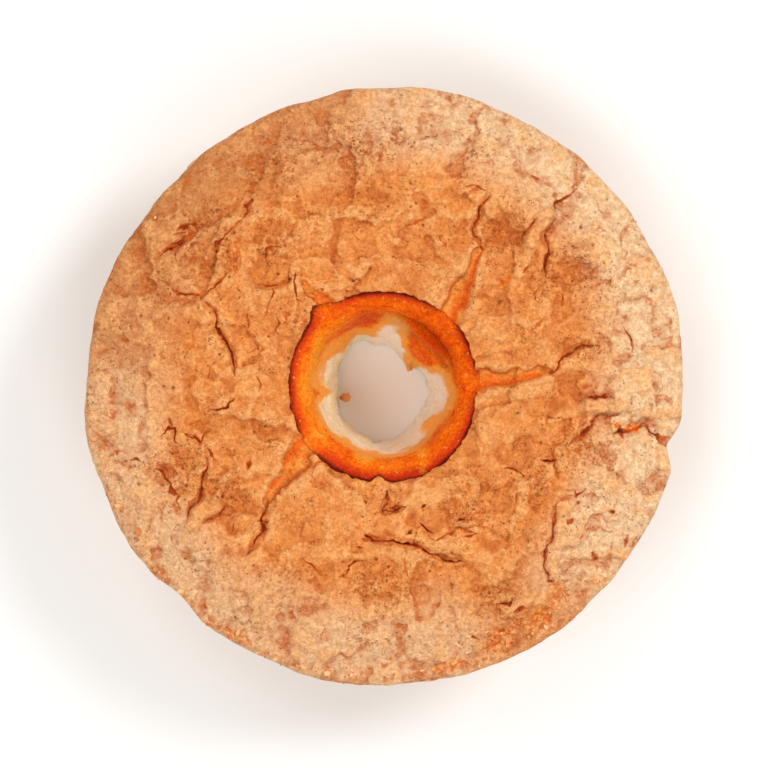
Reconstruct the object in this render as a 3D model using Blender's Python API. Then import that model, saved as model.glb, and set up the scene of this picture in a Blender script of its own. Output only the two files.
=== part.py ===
"""Angel food cake, a ring baked in a tube pan and stood with its cracked top up, as one solid of sponge.

Lengths are in metres and angles in degrees, anticlockwise from +X as seen from above. The cake
stands on Z = 0 with its middle on the Z axis. A fine grid runs round the ring: each of its rows is a
station on the cake's section, and each of its columns an angle. Relief is pressed into the top, and
Decimate then leaves the facets where the relief is.
"""

import math

import bpy
import numpy as np

MM = 0.001

# Driving dimensions
CAKE_RADIUS = 107 * MM  # the crust's edge at its widest
FOOT_RADIUS = 99 * MM  # the pan narrows towards its floor
CROWN_HEIGHT = 62 * MM  # the top of the dome
RIM_HEIGHT = 52.5 * MM  # where the side meets the rolled rim
RIM_ROLL = 6 * MM  # how far in the rim starts to roll over
FOOT_ROUND = 5 * MM

# The collar, the smooth band that sinks from the crust's torn edge into the hole
LIP_RADIUS = 34 * MM  # the crust's torn edge
LIP_RISE = 3.8 * MM  # how far the crust stands above the collar, about
LIP_CURL = 0.8 * MM  # how far its edge leans over the collar
LIP_STEP = 0.3 * MM  # the least that the crust stands above the collar, in a split
COLLAR_HEIGHT = 56.6 * MM
THROAT_RADIUS = 26 * MM
THROAT_HEIGHT = 47 * MM
LIP_CURVE = ((0.5, 0.3), (-1.0, 0.75), (-0.6, 0.94))  # (share of the curl, share of the rise) up its edge

# The hole at the cake's foot, where sponge was left on the tube and it is no longer round
HOLE_RADIUS = 17.6 * MM
HOLE_SHIFT = (-0.8 * MM, -2.0 * MM)
HOLE_ROUND = 1.5 * MM
HOLE_FLARE = 1.2  # over 1, the hole widens faster towards its throat

# The dome falls away on both sides of its crown
CROWN_RADIUS = 66 * MM
INNER_FALL = 1.6 * MM
OUTER_FALL = 5.2 * MM
OUTER_BEND = 2.6  # over 2, the dome stays flat for longer and then falls faster
FALL_LIMIT = 1.5  # in shares of the way from the crown to either edge

# Uneven edges, as bumps of (angle, half width in degrees, distance outwards)
RIM_BUMPS = (
    (135, 38, -2.2 * MM),
    (187, 7, 0.9 * MM),
    (226, 4, -2.0 * MM),
    (262, 9, 0.8 * MM),
    (300, 24, 0.7 * MM),
    (348, 3, -3.4 * MM),
    (20, 30, 0.6 * MM),
    (75, 8, 0.8 * MM),
)
HOLE_BUMPS = (
    (45, 32, -4.6 * MM),
    (128, 22, 2.4 * MM),
    (190, 9, -0.8 * MM),
    (262, 34, 1.4 * MM),
    (318, 10, -0.8 * MM),
)
LIP_BUMPS = (
    (128, 9, 1.6 * MM),
    (267, 4, -2.4 * MM),
    (280, 46, 1.2 * MM),
    (185, 40, 0.9 * MM),
    (60, 40, -0.6 * MM),
)

# Shallow dents in the side, as (angle, height, half width, half height, depth)
SIDE_DENTS = (
    (12, 24 * MM, 22 * MM, 9 * MM, 0.9 * MM),
    (74, 37 * MM, 18 * MM, 8 * MM, 0.8 * MM),
    (118, 20 * MM, 26 * MM, 10 * MM, 1.0 * MM),
    (170, 34 * MM, 20 * MM, 12 * MM, 0.9 * MM),
    (236, 22 * MM, 24 * MM, 9 * MM, 0.8 * MM),
    (305, 33 * MM, 26 * MM, 10 * MM, 1.0 * MM),
)

# Splits that open through the crust's torn edge, as
# (angle at that edge, angle at the tip, radius of the tip, half width at that edge, depth there)
SPLITS = (
    (46.4, 54.7, 58.4, 3.6 * MM, 4.6 * MM),
    (1.5, 5.2, 58.5, 3.4 * MM, 4.2 * MM),
    (217.4, 224.5, 58.8, 4.0 * MM, 4.6 * MM),
    (126.0, 128.0, 45.6, 3.4 * MM, 2.6 * MM),
)
TIP_WIDTH = 0.8 * MM
TIP_DEPTH_SHARE = 0.45

# A run of relief that comes three times round the cake, turned by these angles
CLUSTER_TURNS = (0.0, -50.3, 170.2)

# Grooves are (depth, half width at the start, half width at the end, stations of (angle, radius)).
# A negative depth is a raised fold. Angles are in degrees, and radii of stations in millimetres.
CLUSTER_GROOVES = (
    (2.0 * MM, 1.1 * MM, 1.0 * MM, ((54.7, 58.4), (60.4, 66.0), (60.7, 77.4))),
    (1.6 * MM, 1.0 * MM, 1.0 * MM, ((46.6, 71.0), (47.6, 81.0))),
    (2.0 * MM, 1.2 * MM, 1.0 * MM, ((44.0, 84.0), (41.6, 77.0), (31.9, 68.7))),
    (-1.9 * MM, 1.9 * MM, 1.9 * MM, ((44.1, 73.0), (45.9, 84.4))),
    (-1.1 * MM, 1.6 * MM, 1.0 * MM, ((44.1, 73.0), (39.0, 60.4))),
)
GROOVES = (
    (1.2 * MM, 0.9 * MM, 0.9 * MM, ((143.4, 67.8), (154.3, 71.3), (156.0, 87.5))),
    (2.4 * MM, 1.5 * MM, 0.9 * MM, ((154.3, 71.3), (166.9, 56.0), (177.2, 52.9))),
    (1.2 * MM, 2.0 * MM, 1.4 * MM, ((150.5, 92.0), (137.2, 85.3))),
    (1.1 * MM, 0.9 * MM, 0.9 * MM, ((124.5, 81.6), (141.6, 76.7), (145.5, 73.0))),
    (1.1 * MM, 0.9 * MM, 0.8 * MM, ((128.5, 48.6), (132.5, 51.6), (144.0, 57.5))),
    (0.9 * MM, 2.2 * MM, 2.0 * MM, ((109.4, 52.4), (107.0, 37.0))),
    (0.8 * MM, 2.6 * MM, 2.0 * MM, ((109.3, 71.0), (91.8, 67.0))),
    (1.6 * MM, 1.0 * MM, 0.9 * MM, ((193.2, 72.4), (197.2, 68.8), (193.8, 64.2))),
    (2.2 * MM, 1.8 * MM, 1.0 * MM, ((262.7, 54.0), (271.0, 55.0), (293.5, 68.8))),
    (1.2 * MM, 1.2 * MM, 0.9 * MM, ((289.0, 57.9), (294.5, 57.4), (303.2, 62.4))),
    (2.4 * MM, 1.2 * MM, 1.5 * MM, ((270.5, 37.5), (270.5, 44.6), (280.3, 42.7))),
    (1.4 * MM, 0.9 * MM, 0.9 * MM, ((310.2, 95.8), (314.2, 82.6), (325.7, 74.4), (332.0, 79.5))),
    (1.6 * MM, 1.0 * MM, 0.9 * MM, ((332.0, 69.8), (336.0, 66.8), (333.7, 62.2))),
    (2.8 * MM, 1.6 * MM, 2.8 * MM, ((347.5, 84.0), (350.5, 93.0), (348.5, 110.0))),
)

# Hollows are (depth, angle, radius, half length along the radius, half width across it).
CLUSTER_HOLLOWS = (
    (1.8 * MM, 51.6, 69.0, 8.5 * MM, 6.6 * MM),
    (1.3 * MM, 33.4, 80.0, 8.0 * MM, 9.5 * MM),
)
HOLLOWS = (
    (1.6 * MM, 289.5, 50.0, 6.0 * MM, 9.0 * MM),
    (1.2 * MM, 126.0, 67.0, 6.0 * MM, 9.0 * MM),
    (1.4 * MM, 201.5, 84.0, 4.0 * MM, 4.5 * MM),
    (1.5 * MM, 301.0, 100.0, 5.0 * MM, 14.0 * MM),
)

# How wide the walls of a groove and of a hollow are, as (level at the middle, fall at the half width)
GROOVE_WALL = (1.6, 0.9)
HOLLOW_WALL = (1.9, 1.5)

# Sets of waves that lie every way and add up to something uneven, as
# (how many, shortest, longest, height of a wave for its length, seed)
CRUST_WAVES = (26, 17 * MM, 62 * MM, 0.0052, 7)
WANDER_X = (16, 7 * MM, 20 * MM, 0.016, 11)  # how far grooves stray from their straight runs
WANDER_Y = (16, 7 * MM, 20 * MM, 0.016, 12)

# The fine grid, and the share of its triangles that Decimate leaves
COLUMNS = 420
STEP = 1.1 * MM  # between rows, about
KEPT_SHARE = 0.078
FLAT_WITHIN = 0.08 * MM  # what lies this near the floor stands on it

CRUST_TAN = (0.76, 0.29, 0.085, 1.0)
CRUST_ROUGHNESS = 0.85
SHARP_OVER = 50  # degrees between facets


def shares(start, end, step=STEP):
    """Shares from 0 to 1 along a stretch of the section, about one for each step of its length."""
    return np.linspace(0.0, 1.0, max(2, round(math.dist(start, end) / step)))


def bumps(angle, table):
    """The sum of soft bumps round the ring, at these angles in degrees."""
    total = np.zeros_like(angle)
    for middle, half_width, height in table:
        away = (angle - middle + 180.0) % 360.0 - 180.0
        total += height * np.exp(-((away / half_width) ** 2))
    return total


def crown(radius):
    """The height of the smooth dome at a radius."""
    inner = (CROWN_RADIUS - radius) / (CROWN_RADIUS - LIP_RADIUS)
    outer = (radius - CROWN_RADIUS) / (CAKE_RADIUS - RIM_ROLL - CROWN_RADIUS)
    inner_fall = INNER_FALL * np.clip(inner, 0.0, FALL_LIMIT) ** 2
    outer_fall = OUTER_FALL * np.clip(outer, 0.0, FALL_LIMIT) ** OUTER_BEND
    return CROWN_HEIGHT - inner_fall - outer_fall


def place(angle, radius_mm):
    """The plan point at an angle in degrees and a radius in millimetres."""
    turn = math.radians(angle)
    return np.array((math.cos(turn), math.sin(turn))) * radius_mm * MM


def smooth(share):
    """Eases a share from 0 to 1, level at both ends."""
    share = np.clip(share, 0.0, 1.0)
    return share * share * (3.0 - 2.0 * share)


def groove(x, y, half_widths, stations):
    """Where each plan point lies on a groove.

    Gives how deep in it the point is, from 0 outside to 1 on its floor, and the share of its length.
    """
    corners = [place(*station) for station in stations]
    lengths = [float(np.linalg.norm(b - a)) for a, b in zip(corners, corners[1:])]
    whole, done = sum(lengths), 0.0
    inside = np.zeros_like(x)
    travelled = np.zeros_like(x)
    for a, b, length in zip(corners, corners[1:], lengths):
        heading = (b - a) / length
        along = np.clip((x - a[0]) * heading[0] + (y - a[1]) * heading[1], 0.0, length)
        away = np.hypot(x - a[0] - along * heading[0], y - a[1] - along * heading[1])
        share = (done + along) / whole
        half_width = half_widths[0] + (half_widths[1] - half_widths[0]) * share
        depth = smooth(GROOVE_WALL[0] - GROOVE_WALL[1] * away / half_width)
        travelled = np.where(depth > inside, share, travelled)
        inside = np.maximum(inside, depth)
        done += length
    return inside, travelled


def hollow(x, y, angle, radius_mm, half_length, half_width):
    """How far each plan point lies inside an oval hollow, from 0 at its edge to 1 on its floor."""
    middle = place(angle, radius_mm)
    out = middle / np.linalg.norm(middle)
    along = (x - middle[0]) * out[0] + (y - middle[1]) * out[1]
    across = (y - middle[1]) * out[0] - (x - middle[0]) * out[1]
    return smooth(HOLLOW_WALL[0] - HOLLOW_WALL[1] * np.hypot(along / half_length, across / half_width))


def waves(x, y, wave_set):
    """The sum of a set of waves at each plan point."""
    count, shortest, longest, steepness, seed = wave_set
    draw = np.random.RandomState(seed)
    height = np.zeros_like(x)
    for wavelength in np.geomspace(shortest, longest, count):
        heading, start = draw.uniform(0.0, 2 * math.pi, 2)
        travelled = x * math.cos(heading) + y * math.sin(heading)
        height += steepness * wavelength * np.sin(2 * math.pi * travelled / wavelength + start)
    return height


def all_hollows():
    """Every hollow, with those of the cluster at each of its turns."""
    rows = list(HOLLOWS)
    for turn in CLUSTER_TURNS:
        rows += [(depth, angle + turn, *size) for depth, angle, *size in CLUSTER_HOLLOWS]
    return rows


def all_grooves():
    """Every groove, with those of the cluster at each of its turns."""
    rows = list(GROOVES)
    for turn in CLUSTER_TURNS:
        for depth, start, end, stations in CLUSTER_GROOVES:
            rows.append((depth, start, end, [(angle + turn, radius) for angle, radius in stations]))
    return rows


def relief(x, y):
    """The height that waves, folds, cracks and splits add to the dome at each plan point."""
    height = waves(x, y, CRUST_WAVES)
    for depth, angle, radius, half_length, half_width in all_hollows():
        height -= depth * hollow(x, y, angle, radius, half_length, half_width)
    x, y = x + waves(x, y, WANDER_X), y + waves(x, y, WANDER_Y)
    for depth, start, end, stations in all_grooves():
        height -= depth * groove(x, y, (start, end), stations)[0]
    for lip_angle, tip_angle, tip_radius, half_width, depth in SPLITS:
        stations = ((lip_angle, LIP_RADIUS / MM - 1), (tip_angle, tip_radius))
        inside, travelled = groove(x, y, (half_width, TIP_WIDTH), stations)
        height -= depth * inside * (1 - (1 - TIP_DEPTH_SHARE) * travelled)
    return height


def dent_depth(angle, height):
    """How far the side is pushed in at these angles and heights."""
    depth = np.zeros_like(angle)
    for middle, level, half_width, half_height, most in SIDE_DENTS:
        away = np.radians((angle - middle + 180.0) % 360.0 - 180.0) * CAKE_RADIUS
        depth += most * np.exp(-((away / half_width) ** 2) - ((height - level) / half_height) ** 2)
    return depth


def hole_rows(hole):
    """The section up the hole's wall, as rows of (radius, height, share of the relief)."""
    for turn in np.linspace(0.0, math.pi / 2, 3):
        yield hole + HOLE_ROUND * (1 - math.sin(turn)), HOLE_ROUND * (1 - math.cos(turn)), 0.0
    for t in shares((HOLE_RADIUS, HOLE_ROUND), (THROAT_RADIUS, THROAT_HEIGHT), 2 * STEP)[1:]:
        radius = hole + (THROAT_RADIUS - hole) * t**HOLE_FLARE
        yield radius, HOLE_ROUND + (THROAT_HEIGHT - HOLE_ROUND) * t, 0.0


def collar_rows(lip, lip_height):
    """The section out over the collar and up the crust's torn edge, which a split cuts down."""
    collar = np.minimum(COLLAR_HEIGHT, lip_height - LIP_STEP)
    for turn in np.linspace(0.0, math.pi / 2, 12)[1:]:
        radius = lip - (lip - THROAT_RADIUS) * math.cos(turn)
        yield radius, THROAT_HEIGHT + (collar - THROAT_HEIGHT) * math.sin(turn), 0.0
    lean = LIP_CURL * smooth((lip_height - collar) / LIP_RISE)
    for out, up in LIP_CURVE:
        yield lip + out * lean, collar + (lip_height - collar) * up, 0.0


def top_rows(lip, edge):
    """The section over the dome and round the rim, where the relief fades out."""
    rim = edge - RIM_ROLL
    for t in shares((LIP_RADIUS, 0), (CAKE_RADIUS - RIM_ROLL, 0)):
        radius = lip + (rim - lip) * t
        yield radius, crown(radius), 1.0
    for turn in np.linspace(0.0, math.pi / 2, 8)[1:]:
        fall = (crown(rim) - RIM_HEIGHT) * (1 - math.cos(turn))
        yield rim + RIM_ROLL * math.sin(turn), crown(rim) - fall, math.cos(turn)


def side_rows(angle, edge):
    """The section down the side, whose uneven edge and dents fade out towards the floor."""
    for t in shares((CAKE_RADIUS, RIM_HEIGHT), (FOOT_RADIUS, FOOT_ROUND), 1.6 * STEP)[1:]:
        height = RIM_HEIGHT + (FOOT_ROUND - RIM_HEIGHT) * t
        radius = CAKE_RADIUS + (FOOT_RADIUS - CAKE_RADIUS) * t + (edge - CAKE_RADIUS) * (1 - t) ** 2
        yield radius - (1 - t) * dent_depth(angle, height), height, 0.0


def floor_rows(hole):
    """The section round the foot and in along the floor to the hole."""
    floor_edge = FOOT_RADIUS - FOOT_ROUND
    for turn in np.linspace(0.0, math.pi / 2, 5)[1:]:
        yield floor_edge + FOOT_ROUND * math.cos(turn), FOOT_ROUND * (1 - math.sin(turn)), 0.0
    for t in np.linspace(0.0, 1.0, 14)[1:-1]:
        yield floor_edge + (hole + HOLE_ROUND - floor_edge) * t, 0.0, 0.0


def section(angle):
    """The cake's section at each angle, from the hole's foot up, over the top and back along the floor."""
    along_x, along_y = np.cos(np.radians(angle)), np.sin(np.radians(angle))
    edge = CAKE_RADIUS + bumps(angle, RIM_BUMPS)
    lip = LIP_RADIUS + bumps(angle, LIP_BUMPS)
    lip_height = crown(lip) + relief(lip * along_x, lip * along_y)
    hole = HOLE_RADIUS + bumps(angle, HOLE_BUMPS) + HOLE_SHIFT[0] * along_x + HOLE_SHIFT[1] * along_y
    yield from hole_rows(hole)
    yield from collar_rows(lip, lip_height)
    yield from top_rows(lip, edge)
    yield from side_rows(angle, edge)
    yield from floor_rows(hole)


def cake_points():
    """The fine grid's points, as rows of columns of (x, y, z)."""
    angle = np.arange(COLUMNS) * 360.0 / COLUMNS
    along_x, along_y = np.cos(np.radians(angle)), np.sin(np.radians(angle))
    rows = []
    for radius, height, share in section(angle):
        x, y = radius * along_x, radius * along_y
        rows.append(np.stack((x, y, height + share * relief(x, y)), axis=-1))
    points = np.array(rows)
    flat = points.reshape(-1, 3)
    points[..., :2] -= (flat.max(0) + flat.min(0))[:2] / 2
    return points


def ring_faces(rows, columns):
    """Quads that join each row of a grid to the next, and its last row to its first, facing out."""
    row, column = np.meshgrid(np.arange(rows), np.arange(columns), indexing="ij")
    next_row, next_column = (row + 1) % rows, (column + 1) % columns
    corners = (
        row * columns + column,
        next_row * columns + column,
        next_row * columns + next_column,
        row * columns + next_column,
    )
    return np.stack(corners, axis=-1).reshape(-1, 4)


def sponge_material():
    material = bpy.data.materials.new("browned_sponge")
    material.use_nodes = True
    shader = material.node_tree.nodes["Principled BSDF"]
    shader.inputs["Base Color"].default_value = CRUST_TAN
    shader.inputs["Roughness"].default_value = CRUST_ROUGHNESS
    shader.inputs["Metallic"].default_value = 0.0
    return material


def thin_out(thing):
    """Replaces an object's mesh with one of fewer facets, which lie closest where its relief is."""
    fine = thing.data
    thinner = thing.modifiers.new("fewer_facets", "DECIMATE")
    thinner.ratio = KEPT_SHARE
    seen = thing.evaluated_get(bpy.context.evaluated_depsgraph_get())
    thinned = bpy.data.meshes.new_from_object(seen)
    thing.modifiers.clear()
    thing.data = thinned
    bpy.data.meshes.remove(fine)


def make_cake():
    points = cake_points()
    mesh = bpy.data.meshes.new("fine_cake")
    mesh.from_pydata(points.reshape(-1, 3).tolist(), [], ring_faces(*points.shape[:2]).tolist())
    cake = bpy.data.objects.new("cake", mesh)
    bpy.context.scene.collection.objects.link(cake)
    thin_out(cake)
    for vertex in cake.data.vertices:
        if vertex.co.z < FLAT_WITHIN:
            vertex.co.z = 0.0
    cake.data.name = "cake"
    cake.data.materials.append(sponge_material())
    cake.data.shade_smooth()
    cake.data.set_sharp_from_angle(angle=math.radians(SHARP_OVER))


def main():
    for old in list(bpy.data.objects):
        bpy.data.objects.remove(old)
    make_cake()


main()
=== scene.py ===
"""The looks of a whole angel food cake, cracked crust up, laid out as an add-on and run as a script.

The packed solid gives the cake its place and its limits. Three skins are modelled over it: the tan
crust with its folds, cracks and pores, the orange collar that sinks into the hole, and the pale
sponge of the sides and the base. Loose crumbs and flakes lie on them.

Lengths are in metres, apart from the radii of places on the cake, which are in millimetres. Angles are
in degrees, anticlockwise from +X as seen from above.
"""

import functools
import math
import types

import bmesh
import bpy
import numpy as np
from bpy.props import FloatProperty, FloatVectorProperty, IntProperty, PointerProperty
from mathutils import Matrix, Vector


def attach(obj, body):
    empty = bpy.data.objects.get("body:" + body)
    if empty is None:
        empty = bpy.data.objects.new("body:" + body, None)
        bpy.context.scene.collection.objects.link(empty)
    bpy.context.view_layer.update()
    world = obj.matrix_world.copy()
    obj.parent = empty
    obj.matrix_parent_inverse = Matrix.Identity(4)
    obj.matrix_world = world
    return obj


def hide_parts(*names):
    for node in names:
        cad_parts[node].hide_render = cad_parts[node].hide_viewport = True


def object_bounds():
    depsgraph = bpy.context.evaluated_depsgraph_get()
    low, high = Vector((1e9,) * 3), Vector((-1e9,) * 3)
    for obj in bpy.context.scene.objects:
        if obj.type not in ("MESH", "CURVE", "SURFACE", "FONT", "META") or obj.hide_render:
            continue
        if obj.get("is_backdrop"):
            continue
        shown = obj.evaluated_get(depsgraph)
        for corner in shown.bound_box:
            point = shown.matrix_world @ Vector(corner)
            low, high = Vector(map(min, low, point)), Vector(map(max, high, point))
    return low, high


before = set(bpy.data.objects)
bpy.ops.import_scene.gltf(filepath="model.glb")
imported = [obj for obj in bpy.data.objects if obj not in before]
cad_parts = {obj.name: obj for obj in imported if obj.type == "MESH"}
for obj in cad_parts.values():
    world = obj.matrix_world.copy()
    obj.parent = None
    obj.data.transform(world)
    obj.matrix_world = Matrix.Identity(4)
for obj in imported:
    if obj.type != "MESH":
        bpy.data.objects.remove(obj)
CAD_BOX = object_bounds()

bl_info = {
    "name": "Angel Food Cake",
    "version": (1, 0, 0),
    "blender": (4, 5, 0),
    "location": "View3D > Sidebar > Cake",
    "description": "Builds the crust, collar, sponge and crumbs of a ring-shaped sponge cake",
    "category": "Object",
}

MM = 0.001
BAKE_LAYOUT = "OFBake"
BAKE_BORDER = 0.01
HASH_PRIMES = (73856093, 19349663, 83492791)
HASH_MASK = 4095

# The cake's form, the same as that of its solid
CAKE_RADIUS = 107 * MM
FOOT_RADIUS = 99 * MM
CROWN_HEIGHT = 62 * MM
RIM_HEIGHT = 52.5 * MM
RIM_ROLL = 6 * MM
FOOT_ROUND = 5 * MM
LIP_RADIUS = 34 * MM
LIP_RISE = 3.8 * MM
COLLAR_HEIGHT = 56.6 * MM
THROAT_RADIUS = 26 * MM
THROAT_HEIGHT = 47 * MM
HOLE_RADIUS = 17.6 * MM
HOLE_SHIFT = (-0.8 * MM, -2.0 * MM)
HOLE_ROUND = 1.5 * MM
HOLE_FLARE = 1.2
CROWN_RADIUS = 66 * MM
INNER_FALL = 1.6 * MM
OUTER_FALL = 5.2 * MM
OUTER_BEND = 2.6
FALL_LIMIT = 1.5

# How far the collar's top edge lies under the crust's lip, how far it may sink under or swell over the
# collar's height, and by what share of the way out it falls under the crust
COLLAR_DROP = 1.8 * MM
COLLAR_SINK = 1.0 * MM
COLLAR_SWELL = 1.4 * MM
COLLAR_FALL = 0.15

# Uneven edges, as bumps of (angle, half width in degrees, distance outwards), and how rough the rim is
RIM_BUMPS = (
    (135, 38, -2.2 * MM),
    (187, 7, 0.9 * MM),
    (226, 4, -2.0 * MM),
    (262, 9, 0.8 * MM),
    (300, 24, 0.7 * MM),
    (348, 3, -3.4 * MM),
    (20, 30, 0.6 * MM),
    (75, 8, 0.8 * MM),
)
HOLE_BUMPS = (
    (45, 32, -4.6 * MM),
    (128, 22, 2.4 * MM),
    (190, 9, -0.8 * MM),
    (262, 34, 1.4 * MM),
    (318, 10, -0.8 * MM),
)
LIP_BUMPS = (
    (128, 9, 1.6 * MM),
    (267, 4, -2.4 * MM),
    (280, 46, 1.2 * MM),
    (185, 40, 0.9 * MM),
    (60, 40, -0.6 * MM),
)
LIP_TEARS = (
    (133, 5, 1.8 * MM),
    (180, 24, -0.8 * MM),
    (0, 18, -0.9 * MM),
)
RIM_ROUGHNESS = 0.6 * MM

# Soft dents in the side, as (angle, height, half width, half height, depth)
SIDE_DENTS = (
    (12, 24 * MM, 22 * MM, 9 * MM, 0.9 * MM),
    (74, 37 * MM, 18 * MM, 8 * MM, 0.8 * MM),
    (118, 20 * MM, 26 * MM, 10 * MM, 1.0 * MM),
    (170, 34 * MM, 20 * MM, 12 * MM, 0.9 * MM),
    (236, 22 * MM, 24 * MM, 9 * MM, 0.8 * MM),
    (305, 33 * MM, 26 * MM, 10 * MM, 1.0 * MM),
)

# Splits through the crust's torn edge, as
# (angle at that edge, angle at the tip, radius of the tip, half width at that edge, depth there)
SPLITS = (
    (46.4, 54.7, 58.4, 3.6 * MM, 4.6 * MM),
    (1.5, 5.2, 58.5, 3.4 * MM, 4.2 * MM),
    (217.4, 224.5, 58.8, 4.0 * MM, 4.6 * MM),
    (126.0, 128.0, 45.6, 3.4 * MM, 2.6 * MM),
)
TIP_WIDTH = 0.8 * MM
TIP_DEPTH_SHARE = 0.45
SPLIT_JAG = 0.5 * MM
# How dark the painted shadow along one wall of each split is
SPLIT_WALL_SHADE = 0.42

# Grooves are (depth, half width at the start, half width at the end, stations of (angle, radius)).
# A negative depth is a raised fold. The cluster's come three times round the cake.
CLUSTER_TURNS = (0.0, -50.3, 170.2)
CLUSTER_GROOVES = (
    (2.0 * MM, 1.1 * MM, 1.0 * MM, ((54.7, 58.4), (60.4, 66.0), (60.7, 77.4))),
    (1.6 * MM, 1.0 * MM, 1.0 * MM, ((46.6, 71.0), (47.6, 81.0))),
    (2.0 * MM, 1.2 * MM, 1.0 * MM, ((44.0, 84.0), (41.6, 77.0), (31.9, 68.7))),
    (-1.9 * MM, 1.9 * MM, 1.9 * MM, ((44.1, 73.0), (45.9, 84.4))),
    (-1.1 * MM, 1.6 * MM, 1.0 * MM, ((44.1, 73.0), (39.0, 60.4))),
)
GROOVES = (
    (1.2 * MM, 0.9 * MM, 0.9 * MM, ((143.4, 67.8), (154.3, 71.3), (156.0, 87.5))),
    (2.4 * MM, 1.5 * MM, 0.9 * MM, ((154.3, 71.3), (166.9, 56.0), (177.2, 52.9))),
    (1.2 * MM, 1.2 * MM, 0.9 * MM, ((150.5, 92.0), (137.2, 85.3))),
    (1.1 * MM, 0.9 * MM, 0.9 * MM, ((124.5, 81.6), (141.6, 76.7), (145.5, 73.0))),
    (1.1 * MM, 0.9 * MM, 0.8 * MM, ((128.5, 48.6), (132.5, 51.6), (144.0, 57.5))),
    (0.9 * MM, 1.5 * MM, 1.3 * MM, ((105.8, 61.7), (110.5, 50.0), (110.0, 44.0), (105.5, 37.5))),
    (0.8 * MM, 2.6 * MM, 2.0 * MM, ((109.3, 71.0), (91.8, 67.0))),
    (1.6 * MM, 1.0 * MM, 0.9 * MM, ((193.2, 72.4), (197.2, 68.8), (193.8, 64.2))),
    (2.2 * MM, 1.8 * MM, 1.0 * MM, ((262.7, 54.0), (271.0, 55.0), (293.5, 68.8))),
    (1.2 * MM, 1.2 * MM, 0.9 * MM, ((289.0, 57.9), (294.5, 57.4), (303.2, 62.4))),
    (2.4 * MM, 1.2 * MM, 1.5 * MM, ((270.5, 37.5), (270.5, 44.6), (280.3, 42.7))),
    (
        1.4 * MM,
        0.9 * MM,
        0.9 * MM,
        ((311.8, 98.0), (310.8, 92.5), (311.0, 87.0), (314.2, 82.6), (325.7, 74.4), (332.0, 79.5)),
    ),
    (1.6 * MM, 1.0 * MM, 0.9 * MM, ((332.0, 69.8), (336.0, 66.8), (333.7, 62.2))),
    (2.8 * MM, 1.6 * MM, 2.8 * MM, ((347.5, 84.0), (350.5, 93.0), (348.5, 110.0))),
)

# How steep the walls of a groove and of a hollow are: how deep the middle is, and how much less deep
# that gets over a half width. Then the share of its width that a groove keeps at its pointed ends, the
# margin drawn round it, and how ragged a hollow's edge is.
GROOVE_WALL = (1.6, 0.9)
HOLLOW_WALL = (1.9, 1.5)
POINT_SHARE = 0.12
GROOVE_MARGIN = 4.5 * MM
HOLLOW_RAGGED = (0.22, 0.12)

# A crack down the middle of a groove: its share of the groove's width and its steeper wall, how much of
# the depth is in the softer valley, how far a crack jags, how wide and how high the skin is lifted
# beside it, and from which depth for its width a groove is cracked
CRACK_SHARE = 0.32
CRACK_WALL = (1.5, 1.0)
VALLEY_SHARE = 0.5
CRACK_JAG = 0.9 * MM
LIFTED_REACH = 1.4 * MM
LIFTED_SHARE = 0.2
FINE_LIFTED_SHARE = 0.25
CRACKED_FROM = 0.9
# From which depth for its width a crack is fully darkened, the share of its half width that a fine crack
# keeps, and how dark a fine crack is for its depth. That darkening is partly painted shade and partly the
# cracks' own red-brown.
DARKENED_FROM = 1.1
FINE_WIDTH_SHARE = 0.62
FINE_DARKNESS = 0.9

# Hollows are (depth, angle, radius, half length along the radius, half width across it).
CLUSTER_HOLLOWS = (
    (1.8 * MM, 51.6, 69.0, 8.5 * MM, 6.6 * MM),
    (1.3 * MM, 33.4, 80.0, 8.0 * MM, 9.5 * MM),
)
HOLLOWS = (
    (1.6 * MM, 289.5, 50.0, 6.0 * MM, 9.0 * MM),
    (1.2 * MM, 126.0, 67.0, 6.0 * MM, 9.0 * MM),
    (1.4 * MM, 201.5, 84.0, 4.0 * MM, 4.5 * MM),
    (1.5 * MM, 301.0, 100.0, 5.0 * MM, 14.0 * MM),
)

# Sets of waves, as (how many, shortest, longest, height of a wave for its length, seed)
CRUST_WAVES = (26, 17 * MM, 62 * MM, 0.0052, 7)
WANDER_X = (16, 7 * MM, 20 * MM, 0.016, 11)
WANDER_Y = (16, 7 * MM, 20 * MM, 0.016, 12)

# Noises of the crust, as (size of a lump, how many sizes, seed), and of one size as (size, seed)
UNEVEN = (6 * MM, 2, 31)
JAGGED_X = (3.2 * MM, 3, 33)
JAGGED_Y = (3.2 * MM, 3, 37)
WORN_EDGE = (6 * MM, 3, 41)
TORN_EDGE = (5 * MM, 3, 43)
TORN_GRAINS = (2.2 * MM, 3, 45)
SPOT_EDGE = (1.8 * MM, 3, 47)
SKIN_LUMPS = (10 * MM, 4, 53)
SKIN_GRAIN = (1.7 * MM, 2, 59)
PORE_CLUMPS = (16 * MM, 71)
RIM_NOISE = (12 * MM, 4, 79)
LIP_NOISES = ((1.0, (11 * MM, 2, 83)), (0.45, (4.5 * MM, 2, 85)), (0.12, (1.6 * MM, 2, 87)))
CRUST_END = (13 * MM, 4, 89)
OUTER_EDGE = (18 * MM, 97)
BROWN_CLOUDS = (14 * MM, 101)

# How far a patch reaches in shares of its oval, and how ragged that edge is
WORN_REACH = (1.35, 0.45)
SPOT_REACH = (1.1, 1.1)
TORN_REACH = (1.4, 0.6)

# Folds and creases of the skin, as (wavelength, share of the height, seed)
FOLDS = (
    (24 * MM, 1.0, 61),
    (13 * MM, 0.75, 62),
    (7 * MM, 0.42, 63),
)
CREASES = (
    (15 * MM, 1.0, 65),
    (8 * MM, 0.9, 66),
    (4.5 * MM, 0.7, 67),
)

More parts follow.
